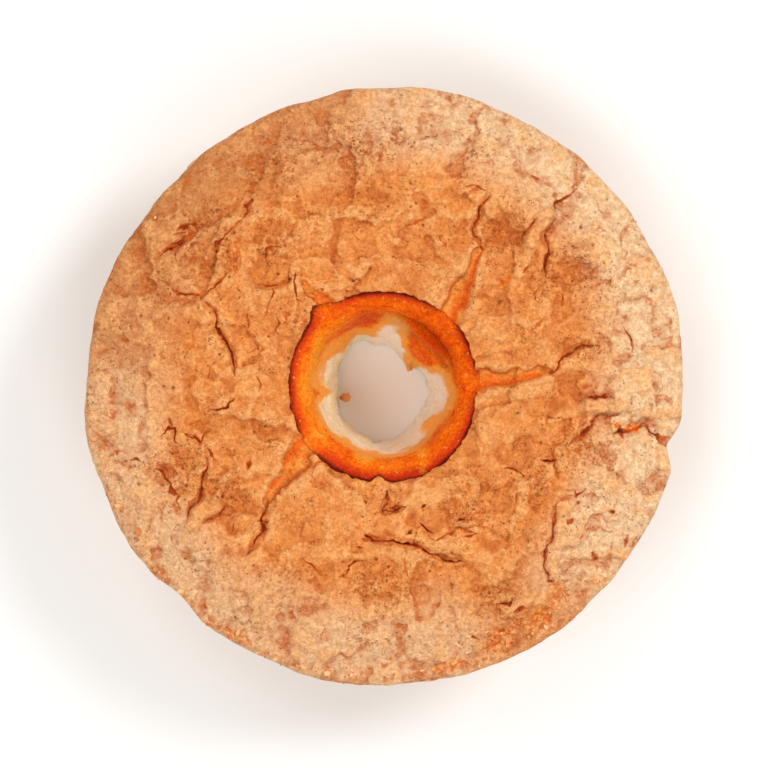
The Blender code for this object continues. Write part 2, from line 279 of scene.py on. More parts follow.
# A fold's edges are soft in some places and sharp in others: the sharpness in the first and what the
# second adds. Seeds this much higher lay out where folds are sharp and where creases crowd together.
FOLD_SOFT = 2.4
FOLD_SHARP = 8.0
FOLD_CHANGE = 17 * MM
CROWD_SEED_STEP = 10
SKIN_BEND = 1.3 * MM
CREASE_WIDTH = 0.45 * MM
CREASE_CHANGE = 11 * MM
# How dark the painted shade in the creases is
CREASE_SHADE = 0.5
WORN_SINK = 0.4 * MM
NEAR_CRACK_REACH = 2.5 * MM

# Hollows and ridges are where the crust lies under or over its average within these reaches, as
# (reach, share). The crust's material paints shade into the hollows and highlights onto the ridges.
HOLLOW_REACHES = ((2.0 * MM, 1.0), (4.5 * MM, 0.75))

# Fine cracks that only the crust's skin has, as (depth, half width, stations of (angle, radius))
FINE_CRACKS = (
    (0.7 * MM, 0.5 * MM, ((68, 77.5), (61, 77))),
    (1.0 * MM, 0.7 * MM, ((45.5, 97), (46.5, 90), (45.7, 85.5))),
    (0.8 * MM, 0.5 * MM, ((40, 67.6), (39, 62))),
    (0.7 * MM, 0.5 * MM, ((27.5, 72), (23.5, 70))),
    (0.7 * MM, 0.6 * MM, ((14, 88), (9, 89), (6.5, 87))),
    (0.7 * MM, 0.5 * MM, ((350, 54.5), (349.5, 67.5))),
    (0.9 * MM, 0.6 * MM, ((323.5, 51), (326.5, 54), (327, 60))),
    (0.8 * MM, 0.5 * MM, ((330.5, 75), (330, 77.5), (332.5, 80))),
    (1.1 * MM, 0.8 * MM, ((333.4, 61), (334.5, 65))),
    (1.0 * MM, 0.7 * MM, ((296.5, 88), (300.5, 88.6), (302, 87))),
    (0.6 * MM, 0.5 * MM, ((315, 51), (323, 57.6))),
    (1.4 * MM, 0.8 * MM, ((274, 56), (279.5, 57.7))),
    (1.1 * MM, 0.8 * MM, ((280, 53.5), (283, 53.3))),
    (1.2 * MM, 0.8 * MM, ((284, 51.6), (288.5, 55))),
    (1.4 * MM, 0.9 * MM, ((298, 56), (301.5, 56))),
    (0.9 * MM, 0.6 * MM, ((297, 61), (300, 62.7), (303, 62.4))),
    (0.5 * MM, 0.35 * MM, ((293.2, 59.6), (294.5, 64.5))),
    (1.2 * MM, 0.7 * MM, ((257, 69), (259.5, 65.8), (264, 63))),
    (0.8 * MM, 0.6 * MM, ((260, 60), (263, 57.7))),
    (0.7 * MM, 0.5 * MM, ((245, 68.5), (249, 69.8), (252, 71))),
    (1.0 * MM, 0.7 * MM, ((260.5, 42.5), (262.5, 43.5))),
    (0.8 * MM, 0.6 * MM, ((259.5, 46.3), (263, 48.7))),
    (1.2 * MM, 0.8 * MM, ((286, 45.5), (290.5, 44.4))),
    (0.9 * MM, 0.7 * MM, ((199, 66), (204, 65.3))),
    (1.1 * MM, 0.7 * MM, ((193.5, 81.6), (192, 79), (192, 75.6), (195, 77), (197, 76))),
    (0.8 * MM, 0.6 * MM, ((188, 77), (192, 76.7))),
    (1.1 * MM, 0.7 * MM, ((188.7, 63), (187, 56), (184.7, 52.4))),
    (0.9 * MM, 0.6 * MM, ((196, 97), (198, 90))),
    (0.4 * MM, 0.3 * MM, ((158.6, 49.6), (159.4, 44.4), (170.5, 38.6))),
    (0.8 * MM, 0.5 * MM, ((125, 61), (130.5, 63), (134, 59), (139, 57.5))),
    (0.9 * MM, 0.6 * MM, ((129, 49), (135.3, 43.5), (133, 41))),
    (0.7 * MM, 0.5 * MM, ((139, 51), (144, 49.6), (151, 49))),
    (0.3 * MM, 0.9 * MM, ((163, 69.8), (167.5, 71), (173.5, 69.8))),
    (0.9 * MM, 0.6 * MM, ((198, 90), (202, 84.5), (207, 84.5), (212, 85.5))),
    (0.8 * MM, 0.5 * MM, ((128.5, 53.5), (131.5, 51), (134.5, 49.5))),
    (0.9 * MM, 0.55 * MM, ((127.5, 50), (130.5, 47.5))),
    (0.8 * MM, 0.5 * MM, ((137, 53.5), (141, 50), (143.5, 49.2))),
    (0.5 * MM, 0.35 * MM, ((141, 42.5), (144.5, 43), (147.5, 41.5))),
    (0.6 * MM, 0.45 * MM, ((147, 44.5), (151, 43.5), (153, 40.5))),
    (0.5 * MM, 0.4 * MM, ((149.5, 58.5), (155, 52.5), (163, 47.5), (170, 44))),
    (0.7 * MM, 0.45 * MM, ((176, 44.5), (180, 43.5), (183, 44.5))),
    (0.6 * MM, 0.4 * MM, ((170, 60), (174.5, 61), (179, 59.5))),
    (0.6 * MM, 0.45 * MM, ((76, 62), (79.5, 58), (82, 57.5))),
    (0.5 * MM, 0.4 * MM, ((64, 51), (66.5, 56), (70.5, 58))),
    (0.6 * MM, 0.45 * MM, ((22, 60), (20.5, 55))),
    (0.5 * MM, 0.4 * MM, ((28, 63), (31.5, 62), (33, 66))),
    (0.6 * MM, 0.45 * MM, ((238, 57), (241, 61), (244, 60.5))),
    (0.6 * MM, 0.45 * MM, ((318, 62), (321, 60.5), (323, 63.5))),
    (0.8 * MM, 0.5 * MM, ((222, 73), (225, 76))),
    (0.8 * MM, 0.5 * MM, ((228, 66), (231, 62))),
)

# Browner, sunken and pitted patches, as (angle, radius, half length along the radius, half width)
WORN_PATCHES = (
    (51, 70, 9 * MM, 8 * MM),
    (32, 76, 13 * MM, 9 * MM),
    (10, 72, 9 * MM, 4 * MM),
    (343, 71, 9 * MM, 9 * MM),
    (304, 53, 8 * MM, 9 * MM),
    (202, 80, 10 * MM, 8 * MM),
    (213, 67, 9 * MM, 8 * MM),
    (269, 72, 10 * MM, 12 * MM),
    (142, 76, 9 * MM, 11 * MM),
    (128, 62, 7 * MM, 7 * MM),
    (328, 66, 6 * MM, 10 * MM),
    (96, 84, 7 * MM, 16 * MM),
    (118, 88, 8 * MM, 12 * MM),
    (297, 84, 6 * MM, 12 * MM),
)

# Orange spots where the crust is thin, as (angle, radius, half length, half width, strength)
GLOWS = (
    (40, 56, 3.2 * MM, 1.8 * MM, 0.6),
    (350, 86, 6.5 * MM, 1.8 * MM, 0.75),
    (161, 53.4, 1.6 * MM, 3.0 * MM, 0.5),
    (282, 40, 1.4 * MM, 2.2 * MM, 0.5),
    (305, 99, 3.0 * MM, 5.0 * MM, 0.4),
    (210, 56, 2.0 * MM, 2.6 * MM, 0.55),
    (299, 68, 3.0 * MM, 4.0 * MM, 0.25),
    (207, 62, 4.0 * MM, 3.0 * MM, 0.25),
    (127, 40, 5.5 * MM, 2.8 * MM, 0.62),
)

# Dark scabs, as (strength, half width, stations of (angle, radius))
SCABS = (
    (1.0, 0.9 * MM, ((150.2, 92.2), (138.5, 85.2))),
    (1.0, 1.0 * MM, ((149, 91.4), (141.5, 86.2))),
    (1.0, 1.0 * MM, ((147.5, 91.8), (140, 86.5))),
    (1.0, 1.0 * MM, ((145, 92), (140.5, 88))),
    (1.0, 0.9 * MM, ((143.5, 92.3), (140.8, 89))),
    (0.9, 0.8 * MM, ((142, 91.2), (138.8, 87.5))),
    (0.95, 1.0 * MM, ((270.6, 39.5), (270.6, 44.5))),
    (0.95, 1.7 * MM, ((270.5, 44.2), (279, 43.0))),
    (0.8, 1.8 * MM, ((262.5, 54), (272, 56))),
    (0.55, 1.6 * MM, ((199.5, 85.5), (203, 83))),
    (0.8, 0.8 * MM, ((320.5, 98), (321.5, 95))),
    (0.7, 0.7 * MM, ((330.6, 92), (331.5, 94))),
    (0.6, 0.8 * MM, ((323, 81.5), (325, 82.5))),
    (0.6, 0.9 * MM, ((52.5, 91.5), (55.5, 90.5))),
    (0.6, 0.8 * MM, ((39, 57), (41.5, 55))),
    (0.6, 0.8 * MM, ((209, 55), (211.5, 57))),
    (0.7, 0.8 * MM, ((347.5, 88), (350.5, 84))),
    (0.8, 0.9 * MM, ((299, 93), (302.5, 93.5))),
    (0.7, 0.8 * MM, ((326, 103), (329, 101.5))),
    (0.7, 0.7 * MM, ((289, 94), (291, 97))),
    (0.6, 1.0 * MM, ((236, 104), (240, 103))),
)

# The streaks over each scab and their seed, the share of the crust's wander that a scab follows, how
# dark its body is, and how deep it is sunk
SCAB_STREAKS = 8
SCAB_SEED = 17
SCAB_STRAY = 0.2
SCAB_BODY = 0.85
SCAB_DEPTH = 0.3 * MM

# Patches where the skin is torn off, as (angle, radius, half length, half width, strength), how deep
# they are sunk, and how dark the painted shade in the gaps between their grains is
TORN_PATCHES = (
    (302, 99, 5.5 * MM, 8 * MM, 1.0),
    (294, 100, 4.0 * MM, 9 * MM, 0.9),
    (283, 103, 2.0 * MM, 7 * MM, 0.8),
    (309, 96, 3.0 * MM, 4 * MM, 0.8),
    (240, 103, 2.5 * MM, 6 * MM, 0.7),
    (149, 92, 2.0 * MM, 6 * MM, 0.5),
)
TORN_DEPTH = 0.5 * MM
TORN_GAP_SHADE = 0.8

# Where pores crowd together, as bumps of (angle, half width, share), and a pore's depth for its size
PORE_CROWD = ((155, 40, 0.6),)
SMALLEST_PORE = 0.2 * MM
PORE_RANGE = 0.3 * MM
PORE_DEPTH = 0.9

# Where the outer crust starts, over what width, and how far that edge wanders. Its paler skin is partly
# painted reflection, a whitish haze over the tan.
OUTER_START = 70 * MM
OUTER_WIDTH = 24 * MM
OUTER_WANDER = 5 * MM

# How brown the outer crust is, as bumps of (angle, half width in degrees, share)
OUTER_BROWN = (
    (128, 32, 1.0),
    (158, 18, 0.4),
    (230, 60, 0.22),
    (300, 13, 0.6),
)

# Stretches where the crust stops short of the rim, as bumps of (angle, half width, share)
SHORT_CRUST = (
    (200, 13, 0.6),
    (238, 16, 0.55),
    (268, 12, 0.3),
    (345, 5, 0.5),
)

# How far under the throat the orange starts, how far down the hole's wall it and then the yellow reach
# at most, how far those edges wander, and over what height each passes
ORANGE_DROP = 4 * MM
ORANGE_REACH = 34 * MM
YELLOW_REACH = 15 * MM
WALL_WANDER = 5 * MM
ORANGE_FADE = 9 * MM
YELLOW_FADE = 8 * MM

# The collar's inner yellow: how far out and how far down it reaches, how far those edges wander, and over
# what width they pass
INNER_OUT = 32.5 * MM
INNER_WANDER = 1.5 * MM
INNER_FADE = 6 * MM
INNER_DOWN = THROAT_HEIGHT - 6 * MM
DOWN_WANDER = 4 * MM
DOWN_FADE = 8 * MM

# The collar's red painted shade starts this far out, and its darker painted shadow this far inside the lip,
# except at the mouths of the splits, over so many of their half widths. The wall's red band of painted shade
# is this high up and this wide.
RED_START = 28.5 * MM
RED_WANDER = 0.8 * MM
RED_FADE = 5 * MM
GAP_REACH = 1.5 * MM
GAP_WANDER = 0.5 * MM
GAP_FADE = 1.3 * MM
MOUTH_REACH = 1.5
MOUTH_SHARE = 0.85
BAND_HEIGHT = THROAT_HEIGHT - 4 * MM
BAND_WIDTH = 12 * MM

# How far down the wall the orange and then the yellow reach, where the collar is yellower, where the wall's
# red band of painted shade lies, and where the wall is warmer, as bumps of (angle, half width, share)
WALL_ORANGE = (
    (40, 28, 1.15),
    (103, 12, 0.55),
    (124, 18, 0.5),
    (150, 20, 0.26),
    (187, 5, 0.4),
    (322, 14, 0.35),
)
WALL_YELLOW = (
    (150, 42, 1.0),
    (187, 12, 0.8),
    (222, 7, 0.5),
    (264, 8, 0.5),
    (325, 16, 0.45),
)
COLLAR_YELLOW = (
    (168, 40, 0.9),
    (272, 12, 0.35),
    (322, 14, 0.2),
)
WALL_RED = (
    (40, 26, 0.8),
    (103, 12, 0.6),
)
WALL_WARM = (
    (205, 60, 1.0),
    (130, 20, 0.6),
)

# Crumbs and flakes, as (how many, middle angle, half the angle they cover, nearest and furthest
# from the rim, smallest and biggest size). Those in the hole are (angle, radius, height, size).
CRUMB_ZONES = (
    (120, 0, 180, 0.3 * MM, 4 * MM, 0.3 * MM, 1.2 * MM),
    (160, 235, 42, 0.2 * MM, 4 * MM, 0.4 * MM, 1.5 * MM),
    (140, 298, 14, 0.5 * MM, 11 * MM, 0.4 * MM, 1.5 * MM),
    (40, 0, 180, 8 * MM, 70 * MM, 0.3 * MM, 0.7 * MM),
)
HOLE_CRUMBS = (
    (198, 14.9, 6 * MM, 2.8 * MM),
    (201, 15.3, 5 * MM, 2.2 * MM),
    (195, 15.5, 7 * MM, 2.0 * MM),
    (198, 16.3, 6 * MM, 2.6 * MM),
    (33, 10.9, 6 * MM, 2.0 * MM),
    (35.5, 11.3, 8 * MM, 1.6 * MM),
    (31, 11.4, 5 * MM, 1.6 * MM),
)
FLAKE_ZONES = (
    (26, 0, 180, 1 * MM, 5 * MM, 1.0 * MM, 2.4 * MM),
    (34, 235, 45, 1 * MM, 5 * MM, 1.0 * MM, 3.0 * MM),
    (20, 300, 20, 1 * MM, 14 * MM, 1.0 * MM, 2.6 * MM),
    (10, 0, 180, 10 * MM, 60 * MM, 0.8 * MM, 1.6 * MM),
)

# The square grid that the crust's relief is drawn on
GRID_HALF = 113 * MM
GRID_CELL = 0.2 * MM

# The crust's skin: its torn lip as steps of (outwards, down) from underneath to the top, how thick it
# is, how deep its hidden underside lies and how far outside the lip that starts, its outer edge in
# shares of its thickness, how far in from the rim's roll its underside ends, and how far over the rim
# it reaches at least and at most
LIP_NOSE = (
    (3.0 * MM, 2.6 * MM),
    (0.9 * MM, 2.4 * MM),
    (0.2 * MM, 1.9 * MM),
    (-0.15 * MM, 1.1 * MM),
    (-0.1 * MM, 0.35 * MM),
    (0.35 * MM, 0.0 * MM),
)
CRUST_THICKNESS = 0.9 * MM
CRUST_DEPTH = 5 * MM
LIP_UNDERSIDE = 7 * MM
CRUST_EDGE = (0.5, 1.3)
CRUST_TURN_IN = 3 * MM
SHORTEST_REACH = 0.3
LONGEST_REACH = 2.2

# How far outside the lip the collar's rows under the crust lie, and where it comes back up inside the
# sponge, as (outwards from the hole, height)
COLLAR_UNDER = (6.0 * MM, 3.5 * MM, 1.6 * MM, 0.6 * MM)
COLLAR_BACK = ((5 * MM, 0.4 * MM), (7 * MM, 12 * MM), (9 * MM, 30 * MM), (11 * MM, 45 * MM))

# How far the sponge lies under the crust, and how far in and down it is hidden
SPONGE_INSET = 0.8 * MM
SPONGE_HIDDEN = 8 * MM
SHOULDER_WIDTH = 14 * MM
SHOULDER_START = -0.45

# How finely each skin is divided. The crust is then thinned to so many triangles, least of all within
# this reach of its cracks and pores.
CRUST_COLUMNS = 1500
TOP_ROWS = 270
RIM_ROWS = 24
CRUST_TRIANGLES = 188000
DETAIL_WEIGHT = 0.98
DETAIL_REACH = 0.4 * MM
DETAIL_LEAST = 0.1
COLLAR_COLUMNS = 720
CREST_REACH = 14
COLLAR_ROWS = 44
WALL_ROWS = 58
EDGE_ROWS = 5
SPONGE_COLUMNS = 840
SHOULDER_ROWS = 14
SIDE_ROWS = 66
FOOT_ROWS = 8
FLOOR_ROWS = 24
BALL_STEPS = 3
FLAKE_CORNERS = 14
FLAKE_THICKNESS = 0.25 * MM
FLAKE_RINGS = (0.4, 0.75, 1.0)

# Noises of the collar and the sponge, as (size of a lump, how many sizes, seed)
COLLAR_EDGE = (7 * MM, 4, 103)
COLLAR_GRAIN = (1.3 * MM, 2, 113)
COLLAR_LUMPS = (4 * MM, 3, 127)
WALL_TEARS = (8 * MM, 4, 131)
FOOT_TEARS = (3 * MM, 2, 133)
SPONGE_LUMPS = (16 * MM, 3, 137)
SKIN_PATCHES = (10 * MM, 4, 139)
SPONGE_PITS = (3.4 * MM, 3, 149)
SPONGE_GRAIN = (1.8 * MM, 2, 151)

# Heights of their unevenness, and how far the wall's foot stays off the floor
FLOOR_CLEARANCE = 0.05 * MM
COLLAR_LUMP_HEIGHT = 0.35 * MM
SPONGE_LUMP_HEIGHT = 0.45 * MM
SPONGE_GRAIN_HEIGHT = 0.12 * MM
SKIN_THICKNESS = 0.35 * MM
BASE_SINK = 0.3 * MM

# Over what widths the collar's unevenness fades under the crust, up the wall, and above its foot
UNDER_FADE = 2 * MM
TEAR_FADE = 22 * MM
FOOT_TEAR_TOP = 16 * MM

# The sponge's skin: how much of it is whole and how patchy it is, the height where it ends, and how much
# it fills the pits. Then where pits start in their noise, how high the base reaches, and from what
# height the skin is browner.
SKIN_COVER = 0.68
SKIN_BREAK = 0.95
SKIN_TOP = 49 * MM
SKIN_FADE = 4 * MM
SKIN_FILL = 0.75
PIT_START = 0.25
PIT_RANGE = 0.45
BASE_REACH = 2 * MM
BROWN_START = 34 * MM
BROWN_WANDER = 9 * MM
BROWN_FADE = 18 * MM

# Patterns of the materials, as (size of a lump, octaves, roughness, from what value, to what value)
CRUST_PATTERNS = {
    "cloud": (22 * MM, 3.0, 0.55, 0.32, 0.68),
    "mottle": (4.5 * MM, 5.0, 0.62, 0.3, 0.7),
    "blotches": (2.6 * MM, 5.0, 0.7, 0.42, 0.64),
    "speckle": (2.1 * MM, 3.0, 0.7, 0.36, 0.6),
    "crumbled": (1.9 * MM, 3.0, 0.6, 0.4, 0.62),
    "flecks": (1.8 * MM, 4.0, 0.65, 0.55, 0.68),
    "grain": (1.1 * MM, 4.0, 0.75, 0.34, 0.66),
    "wrinkled": (15 * MM, 3.0, 0.55, 0.5, 0.7),
    "pored": (9 * MM, 1.0, 0.55, 0.38, 0.56),
}
COLLAR_PATTERNS = {
    "grain": (1.0 * MM, 3.0, 0.65, 0.34, 0.66),
    "mottle": (5 * MM, 4.0, 0.6, 0.3, 0.7),
    "blotches": (3.4 * MM, 4.0, 0.65, 0.46, 0.64),
    "grained": (4 * MM, 2.0, 0.55, 0.45, 0.65),
    "torn": (6 * MM, 4.0, 0.65, 0.5, 0.66),
}
SPONGE_PATTERNS = {
    "mottle": (7 * MM, 5.0, 0.6, 0.3, 0.7),
    "crowd": (9 * MM, 3.0, 0.55, 0.35, 0.65),
}

# Pores of the materials, as (how far apart, share of that distance), and wrinkles, as (how far apart,
# share of the noise's range)
# The crust's pores and the sponge's holes get painted shade, the collar's grains and specks painted glints
CRUST_SMALL_PORES = (1.5 * MM, 0.2)
CRUST_LARGE_PORES = (2.9 * MM, 0.11)
CRUST_WRINKLES = (6.6 * MM, 0.02)
COLLAR_GRAINS = (1.4 * MM, 0.26)
COLLAR_SPECKS = (3.1 * MM, 0.2)
SPONGE_SMALL_HOLES = (2.4 * MM, 0.36)
SPONGE_LARGE_HOLES = (5.2 * MM, 0.3)

# How high each material's fine unevenness is
CRUST_BUMP = 0.68 * MM
COLLAR_BUMP = 0.3 * MM
SPONGE_BUMP = 0.5 * MM
CRUMB_BUMP = 0.2 * MM
FLOOR_BUMP = 0.02 * MM

# How much of the light goes into the moist sponge, how far it travels there, and the shares of that for
# red, green and blue
MOIST_SHARE = 0.4
SPONGE_SCATTER = 12 * MM
SCATTER_COLOUR = (1.0, 0.7, 0.4)

# What the crust's grain multiplies its colour by, from the hollows to the tops of the grain
SKIN_SHADE = (0.74, 0.62, 0.52)
SKIN_LIGHT = (1.16, 1.27, 1.36)

# The stage: how wide the floor is and how far it lies under the cake, where each lamp stands and how
# wide it is, how wide the camera's sensor is, and how far it stands off the middle
FLOOR_SIZE = 8.0
FLOOR_GAP = 0.2 * MM
KEY_PLACE = (1.2, 0.7, 1.4)
KEY_SIZE = 0.7
FILL_PLACE = (-0.68, -0.45, 1.65)
FILL_SIZE = 1.0
LOW_PLACE = (0.35, -0.95, 1.6)
LOW_SIZE = 0.9
BACK_PLACE = (-0.6, 0.85, 1.55)
BACK_SIZE = 0.9
SENSOR = 36.0
CAMERA_NUDGE = 0.36 * MM


def srgb(red, green, blue):
    """A linear colour from the red, green and blue that a screen shows, each up to 255."""
    shares = [value / 255 for value in (red, green, blue)]
    return tuple(s / 12.92 if s <= 0.04045 else ((s + 0.055) / 1.055) ** 2.4 for s in shares)


# Noise and waves


def smooth(share):
    """Eases a share from 0 to 1, level at both ends."""
    share = np.clip(share, 0.0, 1.0)
    return share * share * (3.0 - 2.0 * share)


def noise(points, wavelength, seed):
    """Smooth noise from -1 to 1 at each point of an array whose last axis is x, y and perhaps z."""
    table = np.random.RandomState(seed).uniform(-1.0, 1.0, HASH_MASK + 1)
    scaled = points / wavelength
    cell = np.floor(scaled)
    share = smooth(scaled - cell)
    axes = range(points.shape[-1])
    spots = [cell[..., axis].astype(np.int64) * HASH_PRIMES[axis] for axis in axes]
    total = np.zeros(points.shape[:-1])
    for corner in range(2 ** len(axes)):
        spot, weight = 0, 1.0
        for axis in axes:
            step = corner >> axis & 1
            spot = spot ^ (spots[axis] + step * HASH_PRIMES[axis])
            weight = weight * (share[..., axis] if step else 1.0 - share[..., axis])
        total += weight * table[spot & HASH_MASK]
    return total


def rough(points, wavelength, octaves, seed):
    """Noise of several sizes, each half as long and half as high as the one before."""
    total = np.zeros(points.shape[:-1])
    for octave in range(octaves):
        total += noise(points, wavelength / 2**octave, seed + octave) / 2**octave
    return total


def waves(x, y, wave_set):
    """The sum of a set of waves at each plan point."""
    count, shortest, longest, steepness, seed = wave_set
    draw = np.random.RandomState(seed)
    height = np.zeros_like(x)
    for wavelength in np.geomspace(shortest, longest, count):
        heading, start = draw.uniform(0.0, 2 * math.pi, 2)
        travelled = x * math.cos(heading) + y * math.sin(heading)
        height += steepness * wavelength * np.sin(2 * math.pi * travelled / wavelength + start)
    return height


def bumps(angle, table):
    """The sum of soft bumps round the ring, at these angles in degrees."""
    total = np.zeros_like(angle)
    for middle, half_width, height in table:
        away = (angle - middle + 180.0) % 360.0 - 180.0
        total += height * np.exp(-((away / half_width) ** 2))
    return total


def place(angle, radius_mm):
    """The plan point at an angle in degrees and a radius in millimetres."""
    turn = math.radians(angle)
    return np.array((math.cos(turn), math.sin(turn))) * radius_mm * MM


def crown(radius):
    """The height of the smooth dome at a radius."""
    inner = (CROWN_RADIUS - radius) / (CROWN_RADIUS - LIP_RADIUS)
    outer = (radius - CROWN_RADIUS) / (CAKE_RADIUS - RIM_ROLL - CROWN_RADIUS)
    inner_fall = INNER_FALL * np.clip(inner, 0.0, FALL_LIMIT) ** 2
    outer_fall = OUTER_FALL * np.clip(outer, 0.0, FALL_LIMIT) ** OUTER_BEND
    return CROWN_HEIGHT - inner_fall - outer_fall


# The crust's relief


class Relief:
    """The crust's relief and finish, drawn on a square grid of plan points.

    height is what folds, cracks and pores add to the dome. The other layers go from 0 to 1: crack is
    how deep a point lies in a crack and how dark it is painted there, partly as painted shade and partly
    with the cracks' own red-brown, and it also holds painted shade in the creases, between torn grains and
    along one wall of each split, and the scabs' own dark colour. worn is how brown and pitted the skin is,
    glow how thin and orange, amber how moist it is beside the splits, pore how deep it lies in a pore,
    where shade is painted, and torn how much of it is torn off. cavity goes from -1 on the ridges to 1 in
    the hollows; highlights are painted on the ridges and shade in the hollows.
    """

    def __init__(self, settings):
        ticks = np.arange(-GRID_HALF, GRID_HALF + GRID_CELL / 2, GRID_CELL)
        self.x, self.y = np.meshgrid(ticks, ticks)
        self.flat = np.stack((self.x, self.y), axis=-1)
        self.height = waves(self.x, self.y, CRUST_WAVES)
        for layer in ("crack", "worn", "glow", "amber", "pore", "torn"):
            setattr(self, layer, np.zeros_like(self.x))
        self.stray_x = waves(self.x, self.y, WANDER_X)
        self.stray_y = waves(self.x, self.y, WANDER_Y)
        self.uneven = rough(self.flat, *UNEVEN)
        self.jag_x = rough(self.flat, *JAGGED_X)
        self.jag_y = rough(self.flat, *JAGGED_Y)
        self.draw_hollows()
        self.draw_patches()
        self.draw_grooves()
        self.draw_splits()
        self.draw_fine_cracks()
        self.draw_skin(settings)
        self.draw_scabs()
        self.draw_torn_patches()
        self.draw_pores(settings)
        # For the painted shade in the hollows and the painted highlights on the ridges
        sunk = [share * (self.softened(self.height, reach) - self.height) for reach, share in HOLLOW_REACHES]
        self.cavity = np.clip(sum(sunk) / MM, -1.0, 1.0)

    def window(self, corners, margin):
        """The slices of the grid that hold these plan points and a margin round them."""
        low = np.min(corners, axis=0) - margin
        high = np.max(corners, axis=0) + margin
        count = self.x.shape[0]
        first = np.clip(((low + GRID_HALF) / GRID_CELL).astype(int), 0, count)
        last = np.clip(((high + GRID_HALF) / GRID_CELL).astype(int) + 1, 0, count)
        return slice(first[1], last[1]), slice(first[0], last[0])

    def groove(self, half_widths, stations, wall, unevenness=0.0, jagged=0.0, taper=0.0, stray=1.0):
        """A groove's window, how deep each point there lies in it, and the share of its length.

        It strays from its stations by the share stray of the crust's wander. Over the share taper of
        its length at each end it narrows to a point.
        """
        corners = [place(*station) for station in stations]
        view = self.window(corners, 3.0 * max(half_widths) + GROOVE_MARGIN)
        x = self.x[view] + stray * self.stray_x[view] + jagged * self.jag_x[view]
        y = self.y[view] + stray * self.stray_y[view] + jagged * self.jag_y[view]
        lengths = [float(np.linalg.norm(b - a)) for a, b in zip(corners, corners[1:])]
        whole, done = sum(lengths), 0.0
        inside = np.zeros_like(x)
        travelled = np.zeros_like(x)
        for a, b, length in zip(corners, corners[1:], lengths):
            heading = (b - a) / length
            along = np.clip((x - a[0]) * heading[0] + (y - a[1]) * heading[1], 0.0, length)
            away = np.hypot(x - a[0] - along * heading[0], y - a[1] - along * heading[1])
            share = (done + along) / whole
            half_width = half_widths[0] + (half_widths[1] - half_widths[0]) * share
            half_width = half_width * np.clip(1.0 + unevenness * self.uneven[view], 0.3, 2.0)
            if taper:
                full = smooth(np.minimum(share, 1.0 - share) / taper)
                half_width = half_width * (POINT_SHARE + (1.0 - POINT_SHARE) * full)
            depth = smooth(wall[0] - wall[1] * away / half_width)
            travelled = np.where(depth > inside, share, travelled)
            inside = np.maximum(inside, depth)
            done += length
        return view, inside, travelled

    def oval(self, angle, radius, half_length, half_width):
        """A window round an oval, and each point's distance from its middle in shares of its size."""
        middle = place(angle, radius)
        out = middle / np.linalg.norm(middle)
        view = self.window([middle], 2.0 * max(half_length, half_width))
        x, y = self.x[view], self.y[view]
        along = (x - middle[0]) * out[0] + (y - middle[1]) * out[1]
        across = (y - middle[1]) * out[0] - (x - middle[0]) * out[1]
        return view, np.hypot(along / half_length, across / half_width)

    def draw_hollows(self):
        """Sinks the broad hollows beside the splits."""
        rows = list(HOLLOWS)
        for turn in CLUSTER_TURNS:
            rows += [(depth, angle + turn, *size) for depth, angle, *size in CLUSTER_HOLLOWS]
        for depth, *oval in rows:
            view, away = self.oval(*oval)
            away = away + HOLLOW_RAGGED[0] * self.uneven[view] + HOLLOW_RAGGED[1] * self.jag_x[view]
            self.height[view] -= depth * smooth(HOLLOW_WALL[0] - HOLLOW_WALL[1] * away)

    def draw_ovals(self, layer, rows, reach, edge):
        """Raises a layer to each row's strength inside its oval, whose edge a noise makes ragged."""
        ragged = rough(self.flat, *edge)
        for *oval, strength in rows:
            view, away = self.oval(*oval)
            inside = strength * smooth(reach[0] - away + reach[1] * ragged[view])
            layer[view] = np.maximum(layer[view], inside)

    def draw_patches(self):
        """Lays out the worn patches and the orange spots."""
        self.draw_ovals(self.worn, [(*oval, 1.0) for oval in WORN_PATCHES], WORN_REACH, WORN_EDGE)
        self.draw_ovals(self.glow, GLOWS, SPOT_REACH, SPOT_EDGE)

    def draw_skin(self, settings):
        """Adds the skin's own unevenness: soft lumps, folds with sharper edges, creases and fine grain."""
        bent = self.flat + np.stack((self.jag_x, self.jag_y), axis=-1) * SKIN_BEND
        near_cracks = smooth(3.0 * self.softened(self.crack, NEAR_CRACK_REACH))
        self.height += settings.lump_height * rough(self.flat, *SKIN_LUMPS)
        for wavelength, share, seed in FOLDS:
            change = smooth(0.5 + noise(self.flat, FOLD_CHANGE, seed + CROWD_SEED_STEP))
            sharpness = FOLD_SOFT + FOLD_SHARP * change
            fold = smooth(0.5 + sharpness * noise(bent, wavelength, seed)) - 0.5
            self.height += share * settings.fold_height * fold
        for wavelength, share, seed in CREASES:
            line = smooth(1.0 - np.abs(noise(bent, wavelength, seed)) / (CREASE_WIDTH / wavelength))
            crowd = 1.6 * noise(self.flat, CREASE_CHANGE, seed + CROWD_SEED_STEP)
            crowd += 0.5 * self.worn + 0.9 * near_cracks - 0.14
            line *= share * smooth(crowd)
            self.height -= settings.crease_depth * line
            # Painted shade in the creases
            self.crack = np.maximum(self.crack, CREASE_SHADE * line)
        grain = rough(self.flat, *SKIN_GRAIN)
        self.height += settings.grain_height * grain * (0.5 + 1.2 * self.worn + 0.6 * near_cracks)
        self.height -= WORN_SINK * self.worn

    def darken(self, view, strength, inside):
        """Darkens a window of the crust like the bottom of a crack. It paints shade into the splits, partly
        into the cracks, and gives the scabs their own dark colour.
        """
        self.crack[view] = np.maximum(self.crack[view], strength * inside)

